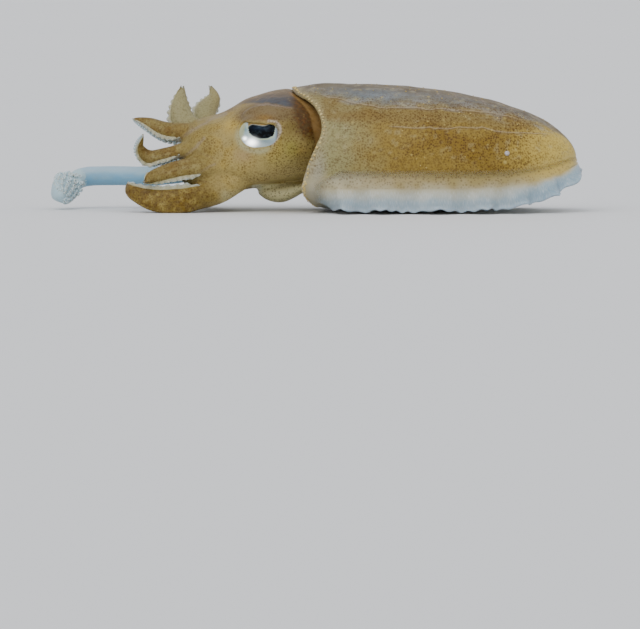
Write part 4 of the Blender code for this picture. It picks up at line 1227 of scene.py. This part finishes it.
def head_looks(p, n, ragged, small):
    """The head's tone, and how strong large dots, fine speckle and creases are on it."""
    x, y, z = p.T
    off_middle = np.abs(y - HEAD_MIDDLE_Y)
    flank = ease((off_middle - 6) / 4)
    fold = np.interp(x, *BROW_FOLD) + 0.3 * small
    over_fold = ease((z - fold) / 0.5) * ease((x + 46) / 4)
    crown = ease((z - 19.5) / 2.0) * (1 - ease((np.abs(n[:, 1]) - 0.18) / 0.35))
    crest = crown * np.exp(-((y - HEAD_MIDDLE_Y) / 6.2) ** 2)
    patch = ease((x + 30.4 + 0.25 * (z - 18)) / 2.4) * ease((z - 13.4 + ragged) / 4.5)
    patch = patch * ease((24.6 - z) / 1.2) * ease((off_middle - 7) / 3)
    silver = bump(lid_distance(p), 0.0, 0.65) * ease((EYE_Z + 1.4 - z) / 1.5) * ease((-33.0 - x) / 3.5)
    behind_eye = (x - EYE_X, z - EYE_Z)
    ahead = margin_line(p) - x
    band = ease((z - 9) / 5)
    lip = ease((0.4 + 1.0 * band - ahead) / 0.35) * band * (np.abs(y) > 3)
    tone = layered(
        plain(p, (168, 153, 114)),
        ((172, 151, 100), ease((ragged + 0.1) / 0.4) * 0.6),
        ((146, 132, 92), ease((-45 - x + ragged) / 4) * 0.8),
        # the brow, the grey skin over its fold, and the brown crest along the middle
        ((118, 104, 84), ease((z - 18.6 + 0.6 * ragged) / 1.2) * flank * ease((x + 45) / 4) * 0.9),
        ((142, 112, 70), spot(x, z, (-36.0, 20.0), (2.0, 0.7)) * flank * 0.6),
        ((76, 80, 88), over_fold),
        ((72, 66, 68), over_fold * ease((small - 0.05) / 0.3) * 0.5),
        ((168, 152, 150), bump(z, fold, 0.14) * flank * ease((x + 43.5) / 2) * 0.4),
        ((116, 98, 78), over_fold * ease((n[:, 2] - 0.9) / 0.08) * 0.6),
        ((134, 114, 84), crest * 0.9),
        ((108, 90, 68), crest * ease((ragged - 0.1) / 0.3) * 0.6),
        # spots of colour round the eye, and the pale foot of the neck
        *((colour, spot(x, z, place, half_sizes) * flank * strength)
          for colour, place, half_sizes, strength in HEAD_SPOTS),
        ((168, 148, 104), ease((x + 29.6) / 1.6) * ease((15.4 - z) / 2.4) * 0.85),
        ((196, 182, 140), ease((x + 34.5) / 4) * ease((10.2 - z + ragged) / 3) * 0.9),
        # the dark patch behind the eye, mottled with orange
        ((70, 50, 2), patch * 0.97),
        ((120, 80, 20), patch * ease((flesh_noise(p, 0.55, seed=12.0) - 0.05) / 0.3) * 0.4),
        # the underside, the streaks and the cheek
        ((206, 198, 162), ease((5.4 - z) / 1.6) * ease((x + 46) / 2) * 0.9),
        *(((158, 146, 130), near_line(x, z + 0.25 * small, line, 0.32) * (y < 2) * 0.6)
          for line in FLANK_STREAKS),
        ((210, 194, 148), ease((15 - z) / 6) * flank * ease((x + 46) / 4) * (1 - patch) * 0.5),
        # silver round the eye, the pale rim behind it, and the brown lip ahead of the mantle
        ((196, 196, 168), silver * 0.6),
        ((128, 132, 128), near_line(*behind_eye, EYE_REAR_SILVER, 0.5) * flank * 0.8),
        ((216, 204, 192), near_line(*behind_eye, EYE_REAR_RIM, 0.2) * flank * 0.85),
        ((150, 124, 92), lip * 0.92),
        ((122, 96, 62), lip * ease((small + 0.1) / 0.4) * 0.5),
        ((84, 60, 34), bump(ahead, 0.45 + 1.0 * band, 0.22) * band * 0.5))
    dots = ease((x + 37.5) / 4) * flank * ease((22.3 - z) / 3) * 0.62
    low_dots = spot(x, z, (-36.5, 7.2), (4.2, 1.5)) * flank
    dots = np.maximum(dots, low_dots * 0.8) * (1 - 0.9 * lip)
    fine = np.clip(0.45 + 0.5 * ragged, 0, 0.7) * (1 - 0.7 * over_fold) * (1 - 0.8 * lip)
    return tone, dots, fine, (0.25 * crown + 0.45 * crest) * (1 - lip)


def stalk_tone(p, n, on_club):
    """The tentacle's clear blue with painted light and shade, whiter on top and darker underneath; whiter on
    the club, with drawn-out streaks.
    """
    drawn = flesh_noise(p, 0.9, (0.2, 1.0, 1.0), 11.0)
    return layered(
        plain(p, (152, 192, 218)),
        # painted light: whiter where the stalk faces up
        ((190, 212, 226), ease((n[:, 2] + 0.1) / 0.8)),
        # painted shade: a darker blue where it faces down
        ((160, 192, 212), ease((-0.3 - n[:, 2]) / 0.6) * 0.5),
        ((206, 220, 226), ease((drawn - 0.1) / 0.5) * 0.2),
        ((206, 226, 232), on_club * 0.85))


def paint_head(skin, forms):
    """Head, arms, tentacle and funnel: each its own colours, blended where they grow together."""
    p, n = animal_points(skin), vectors_of(skin.data.vertex_normals, "vector")
    x, y, z = p.T
    ragged = flesh_noise(p, 3.0, seed=2.0)
    small = flesh_noise(p, 1.0, seed=5.0)
    tone, dots, fine, creases = head_looks(p, n, ragged, small)
    path, club = tentacle_path()
    arm_paths = [form[0] for form in forms.values()]
    which, step, far = nearest_forms(p, arm_paths + [path[:club + 2], club_form()[0]])
    names = list(forms)
    share = step / (ARM_STEPS - 1)
    near_arm = (which < len(names)) & (far < ARM_COLOUR_REACH)
    blend = np.where(near_arm, ease((share - 0.15) / 0.35), 0.0) * ease((-42.5 - x + ragged) / 7)
    face = np.zeros_like(p)
    for k, form in enumerate(forms.values()):
        mine = which == k
        face[mine] = form[1][step[mine]]
    looks_in = (n * face).sum(1)
    oral = ease((looks_in - 0.1) / 0.45) * ease((share - 0.3) / 0.1)
    lower, raised = (
        np.isin(which, [names.index(name) for name in chosen])
        for chosen in (("arm_left_4", "arm_right_4"), ("arm_right_1", "arm_right_2")))
    keel_side = ease((-looks_in - 0.86) / 0.1) * lower * ease((share - 0.35) / 0.1)
    arm_tone = layered(
        plain(p, (132, 118, 82)),
        ((110, 84, 42), ease((ragged + 0.02) / 0.35) * 0.55),
        ((168, 158, 120), ease((small - 0.05) / 0.4) * 0.45),
        ((168, 164, 134), raised * 0.85),
        ((120, 101, 58), lower * 0.7),
        ((84, 66, 40), lower * ease((small + 0.1) / 0.35) * 0.5),
        ((172, 158, 112), lower * ease((-small - 0.2) / 0.2) * 0.5),
        ((78, 56, 26), lower * ease((share - 0.86) / 0.1) * (1 - oral) * 0.6),
        ((182, 164, 120), keel_side * ease((small + 0.2) / 0.3) * 0.5),
        ((206, 210, 204), oral * 0.95))
    tone = mixed(tone, arm_tone, blend)
    dots = dots * (1 - blend) + blend * (1 - oral) * (0.22 + 0.25 * lower - 0.12 * raised)
    fine = fine * (1 - blend) + blend * (1 - oral) * (0.6 - 0.3 * raised)
    near_tentacle = (which >= len(names)) & (far < TENTACLE_COLOUR_REACH)
    stalk = np.where(near_tentacle, ease((-50.5 - x) / 2.5), 0.0)
    stalk = stalk * (far < np.where(which == len(names), 2.45, 9.0))
    tone = mixed(tone, stalk_tone(p, n, which == len(names) + 1), stalk)
    funnel = ease((6.0 - z) / 0.5) * ease((x + 39.0) / 0.8) * (np.abs(y - 2) < 6.4)
    tone = layered(
        tone, ((236, 230, 192), funnel * 0.94), ((228, 228, 206), funnel * ease((-36.2 - x) / 1.2) * 0.8))
    dots = np.maximum(dots * (1 - funnel), funnel * 0.6)
    fine = fine * (1 - funnel)
    marks = np.stack([dots, fine, creases, np.full(len(p), 0.3)], axis=1) * (1 - stalk)[:, None]
    write_colours(skin, "tone", tone)
    write_colours(skin, "marks", np.clip(marks, 0, 1))
    write_colours(skin, "folds", np.zeros((len(p), 4)))


def lid_distance(points):
    """How far each point is from the nearer eye's lid ring."""
    best = np.full(len(points), 99.0)
    for side in (-1, 1):
        place, axes = eye_frame(side)
        local = (points - place) @ axes.T
        ring = np.hypot(local[:, 0] / LID_RING[0], local[:, 2] / LID_RING[1])
        away = np.abs(ring - 1.0) * 4.2
        away = np.where(local[:, 1] > -1.5, away, 99.0)
        best = np.minimum(best, away)
    return best


def sheet_across(sheet):
    """For every vertex of a drawn grid, 0 at its root and 1 at its edge."""
    uv = np.empty(len(sheet.data.loops) * 2)
    sheet.data.uv_layers["along_across"].data.foreach_get("uv", uv)
    across = np.zeros(len(sheet.data.vertices))
    across[corner_points(sheet.data)] = uv.reshape(-1, 2)[:, 1]
    return across


def paint_fin(fin):
    p = animal_points(fin)
    x = p[:, 0]
    across = (sheet_across(fin) - FIN_APRON) / (1 - FIN_APRON) + 0.08 * flesh_noise(p, 2.2, seed=6.0)
    write_colours(fin, "tone", layered(
        plain(p, (160, 146, 108)),
        ((164, 158, 132), ease((-8 - x) / 14)),
        # from the flank's cream over grey to the bluish edge
        ((186, 176, 148), ease((across + 0.12) / 0.16)),
        ((190, 184, 162), ease((across + 0.05) / 0.2)),
        ((196, 198, 188), ease((across - 0.1) / 0.35)),
        ((176, 192, 200), ease((across - 0.4) / 0.35)),
        ((206, 222, 232), ease((across - 0.8) / 0.2)),
        # golden and bluer towards the tail, greyer at the front
        ((212, 190, 128), ease((x - 14) / 12) * ease((0.4 - across) / 0.5) * 0.8),
        ((152, 180, 198), ease((x - 12) / 10) * ease((across - 0.2) / 0.3) * 0.6),
        ((190, 184, 160), ease((-20 - x) / 5) * ease((0.9 - across) / 0.4) * 0.8)))


def paint_membranes(webs):
    p = animal_points(webs)
    across = sheet_across(webs) + 0.15 * flesh_noise(p, 0.8, seed=9.0)
    write_colours(webs, "tone", layered(
        plain(p, (160, 152, 116)),
        ((188, 184, 156), ease(across / 0.6)),
        ((206, 212, 202), ease((across - 0.72) / 0.25) * 0.85)))


# Materials

class Nodes:
    """Short ways to add nodes to one tree."""

    def __init__(self, tree):
        self.tree = tree

    def feed(self, sockets, values):
        """Links each socket that gets another one's output, and sets the others."""
        for key, value in values.items():
            if isinstance(value, bpy.types.NodeSocket):
                self.tree.links.new(value, sockets[key])
            else:
                sockets[key].default_value = value

    def add(self, kind, values=(), **settings):
        made = self.tree.nodes.new("ShaderNode" + kind)
        for key, value in settings.items():
            setattr(made, key, value)
        self.feed(made.inputs, dict(values))
        return made.outputs

    def math(self, operation, *values):
        return self.add("Math", enumerate(values), operation=operation)[0]

    def times(self, first, *factors):
        for factor in factors:
            first = self.math("MULTIPLY", first, factor)
        return first

    def remap(self, value, low, high, to_low=0.0, to_high=1.0):
        values = {"Value": value, "From Min": low, "From Max": high, "To Min": to_low, "To Max": to_high}
        return self.add("MapRange", values)["Result"]

    def here(self):
        return self.add("TexCoord")["Object"]

    def attribute(self, name):
        return self.add("VertexColor", layer_name=name)

    def lumps(self, place, scale, detail, **values):
        return self.add("TexNoise", {"Vector": place, "Scale": scale, "Detail": detail, **values})

    def cells(self, values, **settings):
        return self.add("TexVoronoi", values, **settings)

    def parts(self, colour):
        return self.add("SeparateColor", {"Color": colour})

    def over(self, below, colour, weight):
        """A plain colour laid over another by a mask."""
        values = {"Factor": weight, "A": below, "B": (*colour, 1)}
        return self.add("Mix", values, data_type="RGBA")["Result"]

    def bump(self, height, strength, distance):
        return self.add("Bump", {"Height": height, "Strength": strength, "Distance": distance})["Normal"]

    def effect(self, name, **values):
        """Places one of the node groups, and gives its only output."""
        return self.add("Group", values, node_tree=GROUPS[name])[0]


def new_group(name, output, **inputs):
    """A node group that puts out one number; an input without a value is a vector."""
    tree = bpy.data.node_groups.new(name, "ShaderNodeTree")
    for socket, value in inputs.items():
        kind = "NodeSocketVector" if value is None else "NodeSocketFloat"
        made = tree.interface.new_socket(socket, in_out="INPUT", socket_type=kind)
        if value is not None:
            made.default_value = value
    tree.interface.new_socket(output, in_out="OUTPUT", socket_type="NodeSocketFloat")
    return Nodes(tree), tree.nodes.new("NodeGroupInput").outputs, tree.nodes.new("NodeGroupOutput").inputs


def dot_group():
    """A mask of round pigment dots of a size, more of them the larger the scale."""
    nodes, given, out = new_group("pigment_dots", "Mask", Vector=None, Scale=1500.0, Size=0.3, Softness=0.08)
    cells = nodes.cells({"Vector": given["Vector"], "Scale": given["Scale"], "Randomness": 0.95})
    radius = nodes.times(given["Size"], nodes.remap(nodes.parts(cells["Color"])["Red"], 0.0, 1.0, 0.65, 1.15))
    inner = nodes.math("SUBTRACT", radius, given["Softness"])
    nodes.feed(out, {"Mask": nodes.remap(cells["Distance"], radius, inner)})
    return nodes.tree


def relief_group():
    """Fine pebbling and wrinkles of wet skin, as a height."""
    nodes, given, out = new_group("skin_relief", "Height", Vector=None, Scale=1200.0)
    cells = nodes.cells({"Vector": given["Vector"], "Scale": given["Scale"]}, feature="SMOOTH_F1")
    lumps = nodes.lumps(given["Vector"], 420.0, 3.0, Roughness=0.55)
    total = nodes.math("ADD", nodes.times(cells["Distance"], -0.5), lumps["Fac"])
    nodes.feed(out, {"Height": total})
    return nodes.tree


def crease_group():
    """Thin winding lines, as a mask."""
    nodes, given, out = new_group("winding_creases", "Mask", Vector=None, Scale=240.0, Width=0.05)
    bend = nodes.lumps(given["Vector"], 260.0, 2.0)
    offset = nodes.add("VectorMath", {0: bend["Color"], "Scale": 0.0022}, operation="SCALE")
    moved = nodes.add("VectorMath", {0: given["Vector"], 1: offset[0]}, operation="ADD")
    cells = nodes.cells({"Vector": moved[0], "Scale": given["Scale"]}, feature="DISTANCE_TO_EDGE")
    mask = nodes.remap(cells["Distance"], given["Width"], 0.0)
    kept = nodes.remap(nodes.lumps(given["Vector"], 150.0, 1.0)["Fac"], 0.42, 0.58)
    nodes.feed(out, {"Mask": nodes.times(mask, kept)})
    return nodes.tree


GROUPS = {"dots": dot_group(), "relief": relief_group(), "creases": crease_group()}


def new_material(name):
    material = bpy.data.materials.new(name)
    material.use_nodes = True
    return material, Nodes(material.node_tree)


def surfaced(material, nodes, values):
    """Sets or links the sockets of the material's shader."""
    nodes.feed(material.node_tree.nodes["Principled BSDF"].inputs, values)
    return material


def wet(coat, subsurface, reach):
    """Shader values for a thin clear coat and a little light under the surface."""
    return {
        "Coat Weight": coat, "Coat Roughness": 0.16, "Specular IOR Level": 0.28,
        "Subsurface Weight": subsurface, "Subsurface Radius": (1.0, 0.7, 0.5), "Subsurface Scale": reach,
    }


def skin_material():
    material, nodes = new_material("speckled_skin")
    here = nodes.here()
    strengths, folds = nodes.attribute("marks"), nodes.attribute("folds")
    marks, heights = nodes.parts(strengths["Color"]), nodes.parts(folds["Color"])
    grain = nodes.lumps(here, 900.0, 3.0)["Fac"]
    light = nodes.remap(grain, 0.3, 0.7, 0.0, 0.5)
    colour = nodes.over(nodes.attribute("tone")["Color"], linear(196, 184, 150), nodes.times(light, 0.16))
    creases = nodes.times(nodes.effect("creases", Vector=here, Scale=210.0, Width=0.06), marks["Blue"])
    colour = nodes.over(colour, linear(196, 170, 150), nodes.times(creases, 0.45))
    # fine speckle and pale spots in two spacings each, and between them the large dark dots
    for scale, size, softness, shown, strength, tone in (
        (1900.0, 0.5, 0.2, marks["Green"], 0.72, (80, 56, 20)),
        (2350.0, 0.5, 0.2, marks["Green"], 0.62, (80, 56, 20)),
        (2000.0, 0.44, 0.12, marks["Red"], 0.85, (70, 40, 14)),
        (330.0, 0.17, 0.17, strengths["Alpha"], 0.6, (214, 198, 146)),
        (560.0, 0.17, 0.17, strengths["Alpha"], 0.55, (214, 198, 146)),
    ):
        dots = nodes.effect("dots", Vector=here, Scale=scale, Size=size, Softness=softness)
        colour = nodes.over(colour, linear(*tone), nodes.times(dots, shown, strength))
    # the two long creases: a pale line, and painted shade as a dark line just under it
    for height, shown in (("Red", heights["Blue"]), ("Green", folds["Alpha"])):
        for shift, tone, strength in ((0.0, (186, 172, 150), 0.42), (0.24, (96, 76, 56), 0.45)):
            away = nodes.math("ABSOLUTE", nodes.math("ADD", heights[height], shift))
            line = nodes.remap(away, CREASE_LINE, 0.3 * CREASE_LINE)
            colour = nodes.over(colour, linear(*tone), nodes.times(line, shown, strength))
    pebbled = nodes.effect("relief", Vector=here, Scale=1300.0)
    height = nodes.math("MULTIPLY_ADD", creases, -0.8, pebbled)
    return surfaced(material, nodes, {
        **wet(0.03, 0.03, 0.0005), "Specular IOR Level": 0.16, "Base Color": colour,
        "Roughness": nodes.remap(grain, 0.0, 1.0, 0.38, 0.62), "Normal": nodes.bump(height, 0.35, 0.00018)})


def clear_material(name, fades):
    """Thin clear skin, with rays across it; its root fades in where it grows out of other skin."""
    material, nodes = new_material(name)
    spread = nodes.add("UVMap", uv_map="along_across")["UV"]
    place = nodes.add("SeparateXYZ", {"Vector": spread})
    along, across = place["X"], place["Y"]
    drawn = nodes.add("Mapping", {"Vector": spread, "Scale": (420.0, 6.0, 1.0)})["Vector"]
    rays = nodes.lumps(drawn, 1.0, 2.0)["Fac"]
    on_blade = nodes.times(nodes.remap(rays, 0.45, 0.75), nodes.remap(across, 0.25, 0.5), 0.5)
    colour = nodes.over(nodes.attribute("tone")["Color"], linear(240, 244, 246), on_blade)
    dots = nodes.effect("dots", Vector=nodes.here(), Scale=1900.0, Size=0.5, Softness=0.2)
    colour = nodes.over(colour, linear(90, 66, 28), nodes.times(dots, nodes.remap(across, 0.3, 0.12), 0.6))
    hidden = 0.0 if fades else 1.0
    shown = nodes.times(
        nodes.remap(across, 0.35, 0.9, 1.0, 0.76),
        nodes.remap(across, 0.02, 0.13, hidden),
        nodes.remap(along, 0.0, 0.05, hidden))
    return surfaced(material, nodes, {
        **wet(0.25, 0.2, 0.001), "Base Color": colour, "Alpha": shown, "Roughness": 0.3,
        "Normal": nodes.bump(rays, 0.3, 0.0001)})


def sucker_material():
    material, nodes = new_material("sucker_flesh")
    patches = nodes.lumps(nodes.here(), 700.0, 2.0)["Fac"]
    warm = nodes.times(nodes.remap(patches, 0.4, 0.7), 0.35)
    colour = nodes.over((*linear(222, 238, 243), 1), linear(186, 178, 156), warm)
    return surfaced(material, nodes, {
        **wet(0.4, 0.3, 0.0008), "Base Color": colour, "Roughness": 0.35,
        "Normal": nodes.bump(patches, 0.2, 0.0001)})


def bead_material():
    material, nodes = new_material("pale_bead")
    patches = nodes.lumps(nodes.here(), 350.0, 1.0)["Fac"]
    warm = nodes.times(nodes.remap(patches, 0.4, 0.65), 0.5)
    colour = nodes.over(nodes.attribute("tone")["Color"], linear(188, 164, 112), warm)
    return surfaced(material, nodes, {**wet(0.1, 0.3, 0.0006), "Base Color": colour, "Roughness": 0.4})


def eye_material():
    """Glossy silver with dark flecks; the painted glint shines by itself."""
    material, nodes = new_material("silver_eye")
    flecks = nodes.lumps(nodes.here(), 1500.0, 3.0)["Fac"]
    dark = nodes.times(nodes.remap(flecks, 0.5, 0.75), 0.15)
    colour = nodes.over(nodes.attribute("tone")["Color"], linear(110, 128, 140), dark)
    return surfaced(material, nodes, {
        **wet(0.02, 0.0, 0.0005), "Coat Roughness": 0.04, "Specular IOR Level": 0.05,
        "Base Color": colour, "Roughness": 0.35,
        "Emission Color": nodes.attribute("glint")["Color"], "Emission Strength": 4.0})


def floor_material():
    material, nodes = new_material("pale_floor")
    clouds = nodes.times(nodes.lumps(nodes.here(), 3.0, 2.0)["Fac"], 0.5)
    colour = nodes.over((0.74, 0.75, 0.76, 1), (0.78, 0.78, 0.78), clouds)
    return surfaced(material, nodes, {"Base Color": colour, "Roughness": 0.6})


def dressed(piece, material, slot, *replaced):
    """Gives a piece its material, the root to ride on and the nodes that it replaces; the slot is not used.
    """
    piece.data.materials.clear()
    piece.data.materials.append(material)
    settled(piece)
    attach(piece, "root")
    if replaced:
        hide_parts(*replaced)


# Stage, light and camera

def soft_sun(name, way, power, spread, colour):
    """A wide, even studio light that shines from that way, the same all over the floor."""
    data = bpy.data.lights.new(name, "SUN")
    data.angle, data.energy, data.color = math.radians(spread), power, colour
    lamp = bpy.data.objects.new(name, data)
    lamp.rotation_euler = (-Vector(way)).to_track_quat("-Z", "Y").to_euler()
    bpy.context.scene.collection.objects.link(lamp)


def make_stage():
    floor, _ = primitive("floor", bpy.ops.mesh.primitive_plane_add, size=16.0)
    floor.data.materials.append(floor_material())
    world = bpy.data.worlds.new("soft_studio")
    world.use_nodes = True
    sky = world.node_tree.nodes["Background"].inputs
    sky["Color"].default_value, sky["Strength"].default_value = (0.93, 0.95, 1.0, 1), 0.9
    bpy.context.scene.world = world
    soft_sun("key", (-0.35, -0.75, 0.8), 1.7, 50, (1.0, 0.98, 0.95))
    soft_sun("fill", (0.8, -0.3, 0.6), 0.5, 70, (0.95, 0.97, 1.0))


def make_camera():
    data = bpy.data.cameras.new("picture_camera")
    data.sensor_width = 36.0
    data.lens = data.sensor_width * CAMERA_DISTANCE / FRAME_WIDTH
    data.clip_start, data.clip_end = 0.05, 40.0
    camera = bpy.data.objects.new("picture_camera", data)
    bpy.context.scene.collection.objects.link(camera)
    target = Vector(to_frame(PICTURE_MIDDLE))
    back = Vector((0, -math.cos(CAMERA_ELEVATION), math.sin(CAMERA_ELEVATION)))
    camera.location = target + back * CAMERA_DISTANCE
    camera.rotation_euler = (-back).to_track_quat("-Z", "Y").to_euler()
    bpy.context.scene.camera = camera


def build():
    forms = arm_forms()
    skin_paint = skin_material()
    mantle = make_mantle_skin()
    paint_mantle(mantle)
    head = make_head_skin(forms)
    paint_head(head, forms)
    skin = joined("body_skin", [mantle, head])
    dressed(skin, skin_paint, "skin", *FLESH_NODES)
    fin_paint = clear_material("clear_fin", True)
    for name, side in (("fin_left", -1), ("fin_right", 1)):
        fin = make_fin(name, side)
        paint_fin(fin)
        dressed(fin, fin_paint, "fin", name)
    webs = make_membranes(forms)
    paint_membranes(webs)
    dressed(webs, clear_material("arm_web", False), "arm")
    suckers = sucker_material()
    dressed(make_arm_suckers(forms), suckers, "arm")
    dressed(make_club_suckers(), suckers, "tentacle")
    dressed(make_beads(), bead_material(), "skin")
    eye_paint = eye_material()
    for name, side in (("eye_left", -1), ("eye_right", 1)):
        dressed(make_eye(name, side), eye_paint, "eye", name)
    make_stage()
    make_camera()


build()
